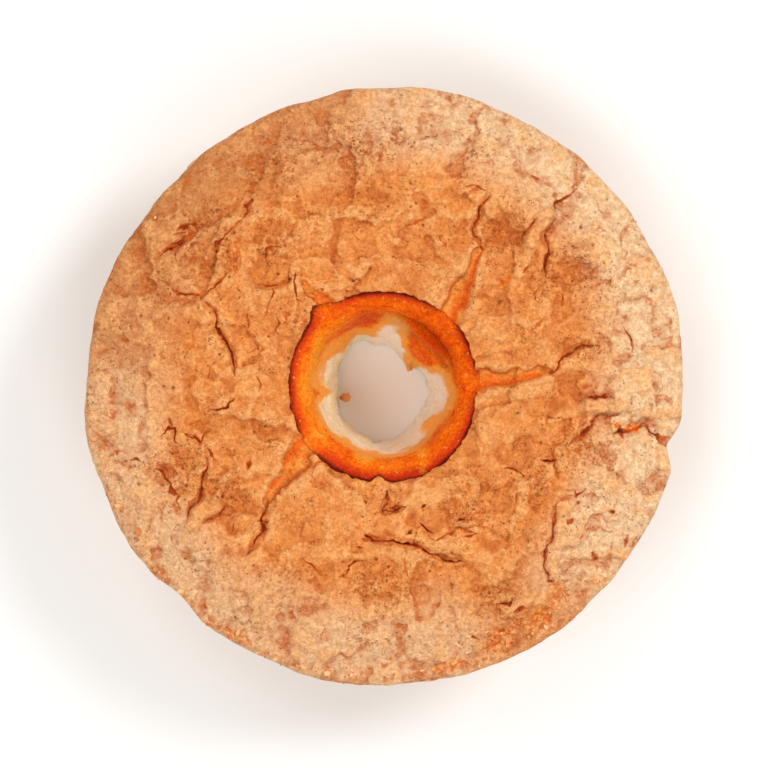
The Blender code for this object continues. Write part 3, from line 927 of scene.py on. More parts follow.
    def draw_crack(self, depth, half_widths, stations):
        """Cuts a jagged crack down the middle of a softer valley, and lifts the skin beside it."""
        view, inside, _ = self.groove(half_widths, stations, GROOVE_WALL, unevenness=0.3, taper=0.2)
        self.height[view] -= VALLEY_SHARE * depth * inside
        core = [CRACK_SHARE * half_width for half_width in half_widths]
        view, inside, _ = self.groove(core, stations, CRACK_WALL, 0.9, CRACK_JAG, taper=0.25)
        self.height[view] -= (1.0 - VALLEY_SHARE) * depth * inside
        self.raise_fold(view, inside, LIFTED_SHARE * depth)
        # Darkest where the crack is deep for its width: partly painted shade, partly its own red-brown
        fading = smooth(0.95 + 0.8 * self.jag_x[view])
        self.darken(view, min(1.0, depth / max(half_widths) / DARKENED_FROM) * fading, self.bottom(inside))

    def draw_grooves(self):
        """Cuts the grooves and raises the folds. The deep narrow ones are cracked."""
        rows = list(GROOVES)
        for turn in CLUSTER_TURNS:
            for depth, start, end, stations in CLUSTER_GROOVES:
                rows.append((depth, start, end, [(angle + turn, radius) for angle, radius in stations]))
        for depth, start, end, stations in rows:
            if depth / max(start, end) > CRACKED_FROM:
                self.draw_crack(depth, (start, end), stations)
            else:
                view, inside, _ = self.groove((start, end), stations, GROOVE_WALL, unevenness=0.3)
                self.height[view] -= depth * inside

    def raise_fold(self, view, inside, height):
        """Lifts the skin beside a crack into a soft lip."""
        wide = self.softened(inside, LIFTED_REACH)
        self.height[view] += height * smooth(2.0 * wide) * (1.0 - inside)

    @staticmethod
    def bottom(inside):
        """How far down a crack's wall its darkening has come, from how deep a point lies in it."""
        return smooth(1.4 * inside - 0.25)

    def draw_splits(self):
        """Opens the splits at the crust's lip, moist at their mouths and with painted shadow along one wall.
        """
        for lip_angle, tip_angle, tip_radius, half_width, depth in SPLITS:
            stations = ((lip_angle, LIP_RADIUS / MM - 1), (tip_angle, tip_radius))
            half_widths = (half_width, TIP_WIDTH)
            view, inside, travelled = self.groove(half_widths, stations, GROOVE_WALL, 0.15, SPLIT_JAG)
            floor = depth * (1 - (1 - TIP_DEPTH_SHARE) * travelled)
            self.height[view] -= floor * inside
            foot, tip = place(*stations[0]), place(*stations[1])
            heading = (tip - foot) / np.linalg.norm(tip - foot)
            side = (self.y[view] - foot[1]) * heading[0] - (self.x[view] - foot[0]) * heading[1]
            side = side / (half_width + (TIP_WIDTH - half_width) * travelled)
            moist = smooth(1.6 * inside - 0.3)
            orange = moist * smooth(0.85 - 0.5 * side + 0.35 * self.jag_x[view] - 0.6 * travelled)
            self.glow[view] = np.maximum(self.glow[view], 0.75 * orange)
            self.amber[view] = np.maximum(self.amber[view], moist * (1.0 - 0.7 * travelled))
            # Painted shadow along the wall on one side
            shaded_wall = smooth(4.0 * inside * (1.0 - inside) * 1.6 - 0.7) * smooth(0.4 + side)
            self.darken(view, SPLIT_WALL_SHADE, shaded_wall)

    def draw_fine_cracks(self):
        """Cuts the fine cracks, narrowing to points, and lifts the skin beside them."""
        for depth, half_width, stations in FINE_CRACKS:
            narrow = FINE_WIDTH_SHARE * half_width
            view, inside, _ = self.groove((narrow, narrow), stations, CRACK_WALL, 0.6, CRACK_JAG, 0.45)
            self.height[view] -= depth * inside
            self.raise_fold(view, inside, FINE_LIFTED_SHARE * depth)
            # Partly painted shade, partly the crack's own red-brown
            self.darken(view, min(1.0, FINE_DARKNESS * depth / MM), self.bottom(inside))

    def draw_streaks(self, draw, strength, half_width, first, last):
        """Draws seeded dark streaks along a scab, from its first station to its last."""
        for _ in range(SCAB_STREAKS):
            near, far = sorted(draw.uniform(0.0, 1.0, 2))
            turn, out = draw.uniform(-0.8, 0.8, 2) * half_width / MM
            streak = [
                (
                    first[0] + (last[0] - first[0]) * share + math.degrees(turn / first[1]),
                    first[1] + (last[1] - first[1]) * share + out,
                )
                for share in (near, far + 0.05)
            ]
            half_widths = (draw.uniform(0.25, 0.5) * MM,) * 2
            view, inside, _ = self.groove(half_widths, streak, CRACK_WALL, 1.0, 0.3 * MM, 0.4, SCAB_STRAY)
            self.darken(view, strength * draw.uniform(0.6, 1.0), inside)
            self.height[view] -= SCAB_DEPTH * inside

    def draw_scabs(self):
        """Lays the broken bodies of the dark scabs, and streaks over them."""
        draw = np.random.RandomState(SCAB_SEED)
        grains = rough(self.flat, *TORN_GRAINS)
        for strength, half_width, stations in SCABS:
            body = (0.6 * half_width, 0.4 * half_width)
            view, inside, _ = self.groove(body, stations, CRACK_WALL, 1.0, 0.4 * MM, 0.4, SCAB_STRAY)
            broken = inside * smooth(1.1 + 0.8 * grains[view])
            self.darken(view, SCAB_BODY * strength, broken)
            self.height[view] -= SCAB_DEPTH * broken
            self.draw_streaks(draw, strength, half_width, stations[0], stations[-1])

    def draw_torn_patches(self):
        """Breaks the patches whose skin is torn off up into grains."""
        grains = rough(self.flat, *TORN_GRAINS)
        self.draw_ovals(self.torn, TORN_PATCHES, TORN_REACH, TORN_EDGE)
        self.height += self.torn * TORN_DEPTH * (grains - 1.0)
        # Painted shade in the gaps between the grains
        self.crack = np.maximum(self.crack, TORN_GAP_SHADE * self.torn * smooth(-1.6 * grains - 0.5))

    def draw_pores(self, settings):
        """Sinks pores, which crowd together in worn patches."""
        draw = np.random.RandomState(settings.seed)
        crowd = smooth(0.45 + 0.6 * noise(self.flat, *PORE_CLUMPS)) * 0.5 + self.worn
        crowd += bumps(np.degrees(np.arctan2(self.y, self.x)), PORE_CROWD)
        for _ in range(settings.pore_count):
            radius = math.sqrt(draw.uniform(0.1, 1.0)) * CAKE_RADIUS
            middle = place(draw.uniform(0.0, 360.0), radius / MM)
            size = SMALLEST_PORE + PORE_RANGE * draw.uniform() ** 4
            wanted = draw.uniform()
            view = self.window([middle], 1.6 * size)
            here = crowd[view]
            if here.size == 0 or here.mean() < wanted:
                continue
            away = np.hypot(self.x[view] - middle[0], self.y[view] - middle[1]) / size
            inside = smooth(1.5 - away - 0.3 * self.uneven[view])
            self.height[view] -= PORE_DEPTH * size * inside
            self.pore[view] = np.maximum(self.pore[view], inside)

    @staticmethod
    def softened(layer, reach):
        """A layer averaged over a square of twice this reach, twice over."""
        half = max(1, round(reach / GRID_CELL))
        for _ in range(2):
            for axis in (0, 1):
                padded = np.pad(layer, [(half + 1, half) if a == axis else (0, 0) for a in (0, 1)], "edge")
                total = np.cumsum(padded, axis=axis)
                size = total.shape[axis]
                ahead = np.take(total, range(2 * half + 1, size), axis=axis)
                behind = np.take(total, range(0, size - 2 * half - 1), axis=axis)
                layer = (ahead - behind) / (2 * half + 1)
        return layer

    def at(self, layer, x, y):
        """A layer's values at plan points, between its grid's."""
        column = np.clip((x + GRID_HALF) / GRID_CELL, 0, layer.shape[1] - 1.001)
        row = np.clip((y + GRID_HALF) / GRID_CELL, 0, layer.shape[0] - 1.001)
        left, low = column.astype(int), row.astype(int)
        across, up = column - left, row - low
        bottom = layer[low, left] * (1 - across) + layer[low, left + 1] * across
        top = layer[low + 1, left] * (1 - across) + layer[low + 1, left + 1] * across
        return bottom * (1 - up) + top * up


# The cake's outlines, and meshes made from rows of points


class Outlines:
    """The cake's plan at evenly spaced angles, from which every skin's rows of points are worked out."""

    def __init__(self, columns, relief):
        self.angle = np.arange(columns) * 360.0 / columns
        self.cos = np.cos(np.radians(self.angle))
        self.sin = np.sin(np.radians(self.angle))
        self.edge = CAKE_RADIUS + bumps(self.angle, RIM_BUMPS) + RIM_ROUGHNESS * self.around(*RIM_NOISE)
        self.lip = LIP_RADIUS + bumps(self.angle, LIP_BUMPS)
        shift = HOLE_SHIFT[0] * self.cos + HOLE_SHIFT[1] * self.sin
        self.hole = HOLE_RADIUS + bumps(self.angle, HOLE_BUMPS) + shift
        self.lip_height = crown(self.lip) + relief.at(relief.height, *self.plan(self.lip))
        self.rim_top = crown(self.edge - RIM_ROLL)

    def plan(self, radius):
        return radius * self.cos, radius * self.sin

    def ring(self, radius, height):
        """A row of points at these radii and heights."""
        x, y = self.plan(radius)
        return np.stack((x, y, height + np.zeros_like(x)), axis=-1)

    def around(self, wavelength, octaves, seed):
        """Noise that runs round the cake and joins up with itself."""
        return rough(self.ring(np.full_like(self.cos, 0.1), 0.0), wavelength, octaves, seed)

    def rim(self, share):
        """The radius and height on the rim: 0 where it starts to roll, 1 where the side begins.

        Past 1 the path goes down the side, as far for each whole number as the roll goes in.
        """
        turn = np.clip(share, 0.0, 1.0) * math.pi / 2
        down = np.maximum(share - 1.0, 0.0) * RIM_ROLL
        radius = self.edge - RIM_ROLL * (1 - np.sin(turn))
        height = RIM_HEIGHT + (self.rim_top - RIM_HEIGHT) * np.cos(turn) - down
        taper = (CAKE_RADIUS - FOOT_RADIUS) / (RIM_HEIGHT - FOOT_ROUND)
        return radius - down * taper, height

    def side(self, height):
        """The side's radius at a height, with its dents."""
        t = (RIM_HEIGHT - height) / (RIM_HEIGHT - FOOT_ROUND)
        radius = CAKE_RADIUS + (FOOT_RADIUS - CAKE_RADIUS) * t + (self.edge - CAKE_RADIUS) * (1 - t) ** 2
        depth = np.zeros_like(self.angle)
        for middle, level, half_width, half_height, most in SIDE_DENTS:
            away = np.radians((self.angle - middle + 180.0) % 360.0 - 180.0) * CAKE_RADIUS
            depth += most * np.exp(-((away / half_width) ** 2) - ((height - level) / half_height) ** 2)
        return radius - (1 - t) * depth


def cake_shift():
    """How far the cake is moved in plan, so that its outline's middle stands on the Z axis."""
    angle = np.arange(420) * 360.0 / 420
    edge = CAKE_RADIUS + bumps(angle, RIM_BUMPS)
    x, y = edge * np.cos(np.radians(angle)), edge * np.sin(np.radians(angle))
    return np.array((-(x.max() + x.min()) / 2, -(y.max() + y.min()) / 2, 0.0))


def facing(points):
    """The outward unit normals of a closed ring of rows of points."""
    up = np.roll(points, -1, axis=0) - np.roll(points, 1, axis=0)
    along = np.roll(points, -1, axis=1) - np.roll(points, 1, axis=1)
    normal = np.cross(up, along)
    return normal / np.maximum(np.linalg.norm(normal, axis=-1, keepdims=True), 1e-12)


def ring_faces(rows, columns):
    """Quads that join each row of a grid to the next, and its last row to its first, facing out."""
    row, column = np.meshgrid(np.arange(rows), np.arange(columns), indexing="ij")
    next_row, next_column = (row + 1) % rows, (column + 1) % columns
    corners = (
        row * columns + column,
        next_row * columns + column,
        next_row * columns + next_column,
        row * columns + next_column,
    )
    return np.stack(corners, axis=-1).reshape(-1, 4)


def fill_mesh(name, vertices, faces):
    """A smooth mesh of faces that all have as many corners."""
    mesh = bpy.data.meshes.new(name)
    corners = faces.shape[1]
    mesh.vertices.add(len(vertices))
    mesh.vertices.foreach_set("co", np.asarray(vertices, dtype=np.float32).ravel())
    mesh.loops.add(faces.size)
    mesh.loops.foreach_set("vertex_index", faces.astype(np.int32).ravel())
    mesh.polygons.add(len(faces))
    mesh.polygons.foreach_set("loop_start", np.arange(0, faces.size, corners, dtype=np.int32))
    mesh.update(calc_edges=True)
    mesh.validate()
    mesh.shade_smooth()
    return mesh


def thinned(mesh, share, detailed):
    """The mesh with only this share of its triangles, taken first from where it isn't detailed."""
    carrier = bpy.data.objects.new("carrier", mesh)
    bpy.context.scene.collection.objects.link(carrier)
    plain = carrier.vertex_groups.new(name="plain")
    plain.add(np.nonzero(~detailed)[0].tolist(), 1.0, "REPLACE")
    plain.add(np.nonzero(detailed)[0].tolist(), DETAIL_WEIGHT, "REPLACE")
    modifier = carrier.modifiers.new("fewer", "DECIMATE")
    modifier.ratio = share
    modifier.vertex_group = plain.name
    seen = carrier.evaluated_get(bpy.context.evaluated_depsgraph_get())
    made = bpy.data.meshes.new_from_object(seen)
    bpy.data.objects.remove(carrier)
    bpy.data.meshes.remove(mesh)
    made.shade_smooth()
    return made


def vertex_points(mesh):
    """A mesh's vertices as rows of x, y and z."""
    points = np.empty(len(mesh.vertices) * 3, dtype=np.float32)
    mesh.vertices.foreach_get("co", points)
    return points.reshape(-1, 3).astype(float)


def add_layer(mesh, name, values):
    """Stores a number for each vertex, for the material to read."""
    layer = mesh.attributes.new(name, "FLOAT", "POINT")
    layer.data.foreach_set("value", np.asarray(values, dtype=np.float32).ravel())


def add_layout(mesh, places):
    """Stores the bake layout, from a place in the unit square for each corner of each face."""
    layout = mesh.uv_layers.new(name=BAKE_LAYOUT)
    inside = BAKE_BORDER + (1.0 - 2 * BAKE_BORDER) * places
    layout.data.foreach_set("uv", inside.astype(np.float32).ravel())


def lay_flat(mesh, flat):
    """Gives a mesh its bake layout from the plan places of its vertices, scaled into the square."""
    index = np.empty(len(mesh.loops), dtype=np.int32)
    mesh.loops.foreach_get("vertex_index", index)
    places = flat[index]
    low, high = places.min(0), places.max(0)
    add_layout(mesh, (places - low) / (high - low).max())


def lay_round(mesh, points):
    """Gives a ring of rows of points its bake layout: the angle across, and the section's length up."""
    rows, columns = points.shape[:2]
    steps = np.linalg.norm(np.roll(points, -1, axis=0) - points, axis=-1).mean(axis=1)
    ends = np.cumsum(steps) / steps.sum()
    starts = ends - steps / steps.sum()
    row, column = np.meshgrid(np.arange(rows), np.arange(columns), indexing="ij")
    across = np.stack((column, column, column + 1, column + 1), axis=-1) / columns
    up = np.stack((starts[row], ends[row], ends[row], starts[row]), axis=-1)
    add_layout(mesh, np.stack((across, up), axis=-1))


def add_piece(name, mesh, material):
    """Puts a finished mesh in the scene as a piece of the cake, standing for the packed solid.

    It is moved from the axis that it was worked out on to the packed model's.
    """
    mesh.vertices.foreach_set("co", (vertex_points(mesh) + cake_shift()).astype(np.float32).ravel())
    mesh.update()
    mesh.name = name
    mesh.materials.clear()
    mesh.materials.append(material)
    piece = bpy.data.objects.new(name, mesh)
    bpy.context.scene.collection.objects.link(piece)
    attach(piece, "root")
    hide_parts("cake")


# The skins' rows of points


def crust_outline(outlines, settings):
    """The crust's own ragged edges: the radius of its torn lip, and where it ends on the rim."""
    ragged = sum(share * outlines.around(*lumps) for share, lumps in LIP_NOISES)
    lip = outlines.lip + bumps(outlines.angle, LIP_TEARS) + settings.lip_raggedness * ragged
    end = settings.rim_reach + 0.3 * outlines.around(*CRUST_END)
    end -= bumps(outlines.angle, SHORT_CRUST)
    return lip, np.clip(end, SHORTEST_REACH, LONGEST_REACH)


def crust_rows(outlines, relief, settings):
    """The crust's rows: under its torn lip, out over the top, round the rim and back beneath."""
    lip, end = crust_outline(outlines, settings)
    start = outlines.edge - RIM_ROLL

    def top(radius):
        return crown(radius) + relief.at(relief.height, *outlines.plan(radius))

    lip_top = top(lip + LIP_NOSE[-1][0])
    hang = np.clip((lip_top - COLLAR_HEIGHT) / LIP_RISE, 0.35, 1.0)
    rows = [outlines.ring(lip + LIP_UNDERSIDE, crown(lip) - CRUST_DEPTH)]
    rows += [outlines.ring(lip + out * hang, lip_top - down * hang) for out, down in LIP_NOSE]
    inner = lip + LIP_NOSE[-1][0] * hang
    for t in np.linspace(0.0, 1.0, TOP_ROWS)[1:]:
        radius = inner + (start - inner) * t
        rows.append(outlines.ring(radius, top(radius)))
    for t in np.linspace(0.0, 1.0, RIM_ROWS)[1:]:
        radius, height = outlines.rim(t * end)
        fade = np.cos(np.minimum(t * end, 1.0) * math.pi / 2)
        rows.append(outlines.ring(radius, height + fade * relief.at(relief.height, *outlines.plan(radius))))
    radius, height = outlines.rim(end)
    turn = np.minimum(end, 1.0) * math.pi / 2
    fade = np.cos(turn) * relief.at(relief.height, *outlines.plan(radius))
    for deep in CRUST_EDGE:
        inwards = deep * CRUST_THICKNESS
        rows.append(outlines.ring(radius - inwards * np.sin(turn), height + fade - inwards * np.cos(turn)))
    rows.append(outlines.ring(start - CRUST_TURN_IN, outlines.rim_top - CRUST_DEPTH))
    rows.append(outlines.ring((start + lip) / 2, crown((start + lip) / 2) - CRUST_DEPTH))
    return np.array(rows)


def collar_rows(outlines, relief):
    """The collar's rows: from under the crust over it, down the hole and back inside the sponge."""
    rows = []
    crest = outlines.lip_height - COLLAR_HEIGHT - COLLAR_DROP
    crest = COLLAR_HEIGHT + np.clip(crest, -COLLAR_SINK, COLLAR_SWELL)
    steps = range(-CREST_REACH, CREST_REACH + 1)
    crest = sum(np.roll(crest, step) for step in steps) / len(steps)
    for out in COLLAR_UNDER:
        radius = outlines.lip + out
        skin = crown(radius) + relief.at(relief.height, *outlines.plan(radius))
        rows.append(outlines.ring(radius, np.minimum(crest - COLLAR_FALL * out, skin - out)))
    for turn in np.linspace(math.pi / 2, 0.0, COLLAR_ROWS):
        radius = outlines.lip - (outlines.lip - THROAT_RADIUS) * math.cos(turn)
        rows.append(outlines.ring(radius, THROAT_HEIGHT + (crest - THROAT_HEIGHT) * math.sin(turn)))
    for t in np.linspace(1.0, 0.0, WALL_ROWS)[1:]:
        radius = outlines.hole + (THROAT_RADIUS - outlines.hole) * t**HOLE_FLARE
        rows.append(outlines.ring(radius, HOLE_ROUND + (THROAT_HEIGHT - HOLE_ROUND) * t))
    for turn in np.linspace(math.pi / 2, 0.0, EDGE_ROWS)[1:]:
        radius = outlines.hole + HOLE_ROUND * (1 - math.sin(turn))
        rows.append(outlines.ring(radius, HOLE_ROUND * (1 - math.cos(turn))))
    rows += [outlines.ring(outlines.hole + out, height) for out, height in COLLAR_BACK]
    return np.array(rows)[::-1]


def sponge_rows(outlines, relief):
    """The sponge's rows: inside under the crust, out to the shoulder, down the side and in below."""
    rows = [outlines.ring(outlines.lip + SPONGE_HIDDEN, COLLAR_HEIGHT - SPONGE_HIDDEN)]
    rows.append(outlines.ring(outlines.edge - SHOULDER_WIDTH, outlines.rim_top - SPONGE_HIDDEN))
    for share in np.linspace(SHOULDER_START, 1.0, SHOULDER_ROWS):
        radius, height = outlines.rim(np.full_like(outlines.angle, share))
        radius += min(0.0, share) * RIM_ROLL
        turn = max(0.0, share) * math.pi / 2
        sunk = np.minimum(relief.at(relief.height, *outlines.plan(radius)), 0.0) * math.cos(turn)
        inwards = SPONGE_INSET * (1.0 + 3.0 * max(0.0, 0.35 - share))
        inwards *= min(1.0, 1.6 - 1.2 * share)
        height += sunk - inwards * math.cos(turn)
        rows.append(outlines.ring(radius - inwards * math.sin(turn), height))
    for height in np.linspace(RIM_HEIGHT, FOOT_ROUND, SIDE_ROWS)[1:]:
        rows.append(outlines.ring(outlines.side(height), height))
    floor_edge = FOOT_RADIUS - FOOT_ROUND
    for turn in np.linspace(0.0, math.pi / 2, FOOT_ROWS)[1:]:
        radius = floor_edge + FOOT_ROUND * math.cos(turn)
        rows.append(outlines.ring(np.full_like(outlines.angle, radius), FOOT_ROUND * (1 - math.sin(turn))))
    for t in np.linspace(0.0, 1.0, FLOOR_ROWS)[1:]:
        radius = floor_edge + (outlines.hole + 0.8 * HOLE_ROUND - floor_edge) * t
        rows.append(outlines.ring(radius, 0.0))
    rows.append(outlines.ring(outlines.hole + 4 * MM, 3 * MM))
    return np.array(rows)


# Finishes: the numbers for each vertex that the materials read


def turned(points):
    """The radius and the angle in degrees of each point of the unmoved cake."""
    x, y = points[..., 0], points[..., 1]
    return np.hypot(x, y), np.degrees(np.arctan2(y, x)) % 360.0


def crust_layers(points, relief):
    """The crust's finish at each vertex."""
    radius, angle = turned(points)
    flat = points[:, :2]
    x, y = points[:, 0], points[:, 1]
    edge = CAKE_RADIUS + bumps(angle, RIM_BUMPS)
    rim = np.clip((radius - edge + RIM_ROLL) / RIM_ROLL, 0.0, 1.0)
    top = crown(np.minimum(radius, edge - RIM_ROLL)) + relief.at(relief.height, x, y)
    below = np.where(rim > 0.02, 0.0, top - points[:, 2])
    outer = smooth((radius + OUTER_WANDER * noise(flat, *OUTER_EDGE) - OUTER_START) / OUTER_WIDTH)
    brown = np.clip(bumps(angle, OUTER_BROWN) * (1.0 + 0.35 * noise(flat, *BROWN_CLOUDS)), 0.0, 1.0)
    crack = relief.at(relief.crack, x, y) * (1.0 - rim)
    # Painted shade, in the cracks' colours, on the crust's underside at its lip
    shade_under_lip = smooth(below / CRUST_THICKNESS)
    cavity = relief.at(relief.cavity, x, y)
    layers = {name: relief.at(getattr(relief, name), x, y) for name in ("worn", "glow", "amber", "torn")}
    return {
        **layers,
        # The outer crust's paler skin, partly painted reflection
        "pale": outer * (1.0 - brown),
        "dull": outer * brown,
        "crack": np.maximum(crack, shade_under_lip),
        "pore": relief.at(relief.pore, x, y) * (1.0 - rim),
        # Painted shade in the hollows and painted highlights on the ridges
        "cavity": np.clip(cavity, 0.0, 1.0),
        "ridge_highlight": np.clip(-cavity, 0.0, 1.0),
    }


def wall_layers(height, angle, ragged):
    """How orange and how yellow the hole's wall is, down to edges that wander."""
    reach = THROAT_HEIGHT - ORANGE_DROP - ORANGE_REACH * np.clip(bumps(angle, WALL_ORANGE), 0.0, 1.2)
    above = height - reach + WALL_WANDER * ragged
    orange = smooth(above / ORANGE_FADE)
    golden = np.clip(bumps(angle, WALL_YELLOW), 0.0, 1.0)
    edge = smooth(1.4 - np.abs(above / YELLOW_FADE - 0.2))
    below = golden * smooth((above + YELLOW_REACH * golden) / YELLOW_FADE) * (1.0 - orange)
    return orange, np.maximum(edge, below)


def closed_lip(angle):
    """1 where the crust's lip is whole, and less at the mouths of the splits."""
    turns = [(split[0], math.degrees(split[3] / LIP_RADIUS)) for split in SPLITS]
    mouths = [(middle, MOUTH_REACH * half_width, MOUTH_SHARE) for middle, half_width in turns]
    return 1.0 - np.clip(bumps(angle, mouths), 0.0, 1.0)


def edged(past, wander, fade, ragged):
    """Eases from 0 to 1 over the length fade, from an edge that a noise makes wander."""
    return smooth((past + wander * ragged) / fade)


def collar_layers(points):
    """The collar's finish at each vertex: how orange, yellow and warm it is, where its red painted shade
    lies, and where the darker painted shadow under the crust's lip lies.
    """
    radius, angle = turned(points)
    height = points[:, 2]
    ragged = rough(points, *COLLAR_EDGE)
    orange, yellow = wall_layers(height, angle, ragged)
    lip_line = (height > THROAT_HEIGHT) * closed_lip(angle)
    inner = edged(INNER_OUT - radius, INNER_WANDER, INNER_FADE, ragged)
    inner *= edged(height - INNER_DOWN, DOWN_WANDER, DOWN_FADE, ragged)
    # Red painted shade towards the crust's lip
    near_lip = edged(radius - RED_START, RED_WANDER, RED_FADE, ragged) * lip_line
    lip = LIP_RADIUS + bumps(angle, LIP_BUMPS) + bumps(angle, LIP_TEARS)
    # A darker painted shadow just inside the lip
    gap = edged(radius - lip + GAP_REACH, GAP_WANDER, GAP_FADE, ragged) * lip_line
    # A red band of painted shade high on the wall
    shade_band = smooth(1.3 - np.abs(height - BAND_HEIGHT + DOWN_WANDER * ragged) / BAND_WIDTH)
    return {
        "warm": np.clip(bumps(angle, WALL_WARM) + 0.3 * ragged, 0.0, 1.0),
        "orange": orange,
        "yellow": np.maximum(yellow, inner * np.clip(bumps(angle, COLLAR_YELLOW), 0.0, 1.0)),
        "shade": np.maximum(near_lip, shade_band * np.clip(bumps(angle, WALL_RED), 0.0, 1.0)),
        "gap": gap,
    }


# Materials


class Finish:
    """A material in the making: each call adds a node and gives back its output."""

    def __init__(self, name):
        self.material = bpy.data.materials.new(name)
        self.material.use_nodes = True
        self.nodes = self.material.node_tree.nodes
        self.links = self.material.node_tree.links
        self.nodes.clear()
        self.place = self.nodes.new("ShaderNodeTexCoord").outputs["Object"]

    def add(self, kind, inputs, **options):
        node = self.nodes.new(kind)
        for key, value in options.items():
            setattr(node, key, value)
        for key, value in inputs.items():
            if isinstance(value, bpy.types.NodeSocket):
                self.links.new(value, node.inputs[key])
            else:
                node.inputs[key].default_value = value
        return node

    def layer(self, name):
        """A number stored for each vertex."""
        return self.add("ShaderNodeAttribute", {}, attribute_name=name).outputs["Fac"]

    def noise(self, size, detail=4.0, roughness=0.55, twist=0.0):
        """Noise about 0.5, whose lumps are this far apart."""
        inputs = {"Vector": self.place, "Scale": 1 / size, "Detail": detail, "Roughness": roughness}
        return self.add("ShaderNodeTexNoise", {**inputs, "Distortion": twist}).outputs["Fac"]

    def patterns(self, table):
        """The eased noises of a table, by name."""
        made = {}
        for name, (size, octaves, roughness, low, high) in table.items():
            made[name] = self.span(self.noise(size, octaves, roughness), low, high)
        return types.SimpleNamespace(**made)

    def pores(self, size, share):
        """1 in round pores set this far apart, which take up this share of that distance."""
        inputs = {"Vector": self.place, "Scale": 1 / size, "Randomness": 1.0}
        cells = self.add("ShaderNodeTexVoronoi", inputs)
        return self.span(cells.outputs["Distance"], share, 0.4 * share)

    def line(self, size, width):
        """1 on thin wandering lines about this far apart, and this wide in shares of the noise's range."""
        away = self.sum(self.sum(self.noise(size, 3.0, 0.5, 0.2), 0.5, "SUBTRACT"), 0.0, "ABSOLUTE")
        return self.span(away, width, 0.0)

    def span(self, value, low, high):
        """A value eased from 0 at low to 1 at high."""
        inputs = {"Value": value, "From Min": low, "From Max": high}
        return self.add("ShaderNodeMapRange", inputs, interpolation_type="SMOOTHSTEP").outputs["Result"]

    def sum(self, first, second, operation="ADD"):
        """Two values added, or joined by another operation."""
        return self.add("ShaderNodeMath", {0: first, 1: second}, operation=operation).outputs["Value"]

    def times(self, first, second):
        return self.sum(first, second, "MULTIPLY")

    def most(self, first, second):
        return self.sum(first, second, "MAXIMUM")

    def blend(self, share, plain, other):
        """One colour passing into another as share goes from 0 to 1."""
        plain, other = (c if isinstance(c, bpy.types.NodeSocket) else (*c, 1.0) for c in (plain, other))
        return self.add("ShaderNodeMix", {0: share, 6: plain, 7: other}, data_type="RGBA").outputs[2]

    def laid(self, skin, share, colour, most=1.0):
        """A colour laid over a skin where share is 1, and covering at most so much of it."""
        return self.blend(self.times(share, most), skin, colour)

    def shaded(self, colour, value, low, high):
        """A colour made darker or lighter by a value from 0 to 1."""
        level = self.add("ShaderNodeMapRange", {"Value": value, "To Min": low, "To Max": high})
        return self.multiplied(colour, level.outputs["Result"])

    def tinted(self, colour, value, low, high):
        """A colour multiplied by one that passes from low to high as the value goes from 0 to 1."""
        return self.multiplied(colour, self.blend(value, low, high))

    def multiplied(self, colour, other):
        inputs = {0: 1.0, 6: colour, 7: other}
        return self.add("ShaderNodeMix", inputs, data_type="RGBA", blend_type="MULTIPLY").outputs[2]

    def finish(self, colour, roughness, height, depth, gloss, glowing=0.0):
        """Joins the shader up. The height is in shares of depth, a length.

        The share glowing of the light that enters it comes out again further on.
        """
        bump = self.add("ShaderNodeBump", {"Height": height, "Distance": depth, "Strength": 1.0})
        inputs = {"Base Color": colour, "Roughness": roughness, "Normal": bump.outputs["Normal"]}
        shader = self.add("ShaderNodeBsdfPrincipled", inputs)
        shader.inputs["Specular IOR Level"].default_value = gloss
        shader.inputs["Subsurface Weight"].default_value = glowing
        shader.inputs["Subsurface Scale"].default_value = SPONGE_SCATTER
        shader.inputs["Subsurface Radius"].default_value = SCATTER_COLOUR
        self.add("ShaderNodeOutputMaterial", {"Surface": shader.outputs["BSDF"]})
        return self.material


def crust_skin(make, settings, seen, wrinkle):
    """The crust's colours, laid one over another: clouds, painted highlights on the folds and painted shade
    in the hollows, worn and torn patches, cracks.
    """
    worn, crack, glow = make.layer("worn"), make.layer("crack"), make.layer("glow")
    # Where shade is painted into the hollows
    hollow = make.span(make.sum(make.layer("cavity"), make.times(seen.grain, 0.2)), 0.12, 1.0)
    skin = make.blend(make.times(seen.cloud, 0.6), settings.skin, settings.deep_skin)
    skin = make.laid(skin, seen.mottle, settings.rosy_skin, most=0.62)
    # The paler outer crust, partly painted reflection
    skin = make.laid(skin, make.layer("pale"), settings.pale_skin)
    skin = make.laid(skin, make.layer("dull"), settings.dull_skin)
    # Painted highlights on the ridges, then painted shade in the hollows
    skin = make.laid(skin, make.layer("ridge_highlight"), settings.fold, most=0.7)
    hollow_shade = make.times(hollow, make.sum(make.times(seen.blotches, 0.5), 0.45))
    skin = make.laid(skin, hollow_shade, settings.brown)
    skin = make.laid(skin, make.times(make.sum(worn, 0.12), seen.blotches), settings.brown, most=0.85)
    # Painted shade in the wrinkle lines, and the skin's own flecks
    skin = make.laid(skin, wrinkle, settings.brown, most=0.5)
    crumbled = make.blend(seen.crumbled, settings.torn, settings.fold)
    skin = make.laid(skin, make.span(make.layer("torn"), 0.1, 0.8), crumbled, most=0.8)
    skin = make.laid(skin, make.layer("amber"), settings.amber)
    skin = make.laid(skin, make.span(glow, 0.05, 0.5), settings.amber, most=0.8)
    skin = make.laid(skin, make.span(glow, 0.2, 0.85), settings.orange, most=0.85)
    # Cracks, partly painted shade and partly their own red-brown, with painted shade in the creases, under
    # the lip, between torn grains and along one wall of each split, and the scabs' own dark colour
    skin = make.laid(skin, make.span(crack, 0.05, 0.6), settings.rust, most=0.8)
    return make.laid(skin, make.span(crack, 0.5, 1.0), settings.crack, most=0.85)


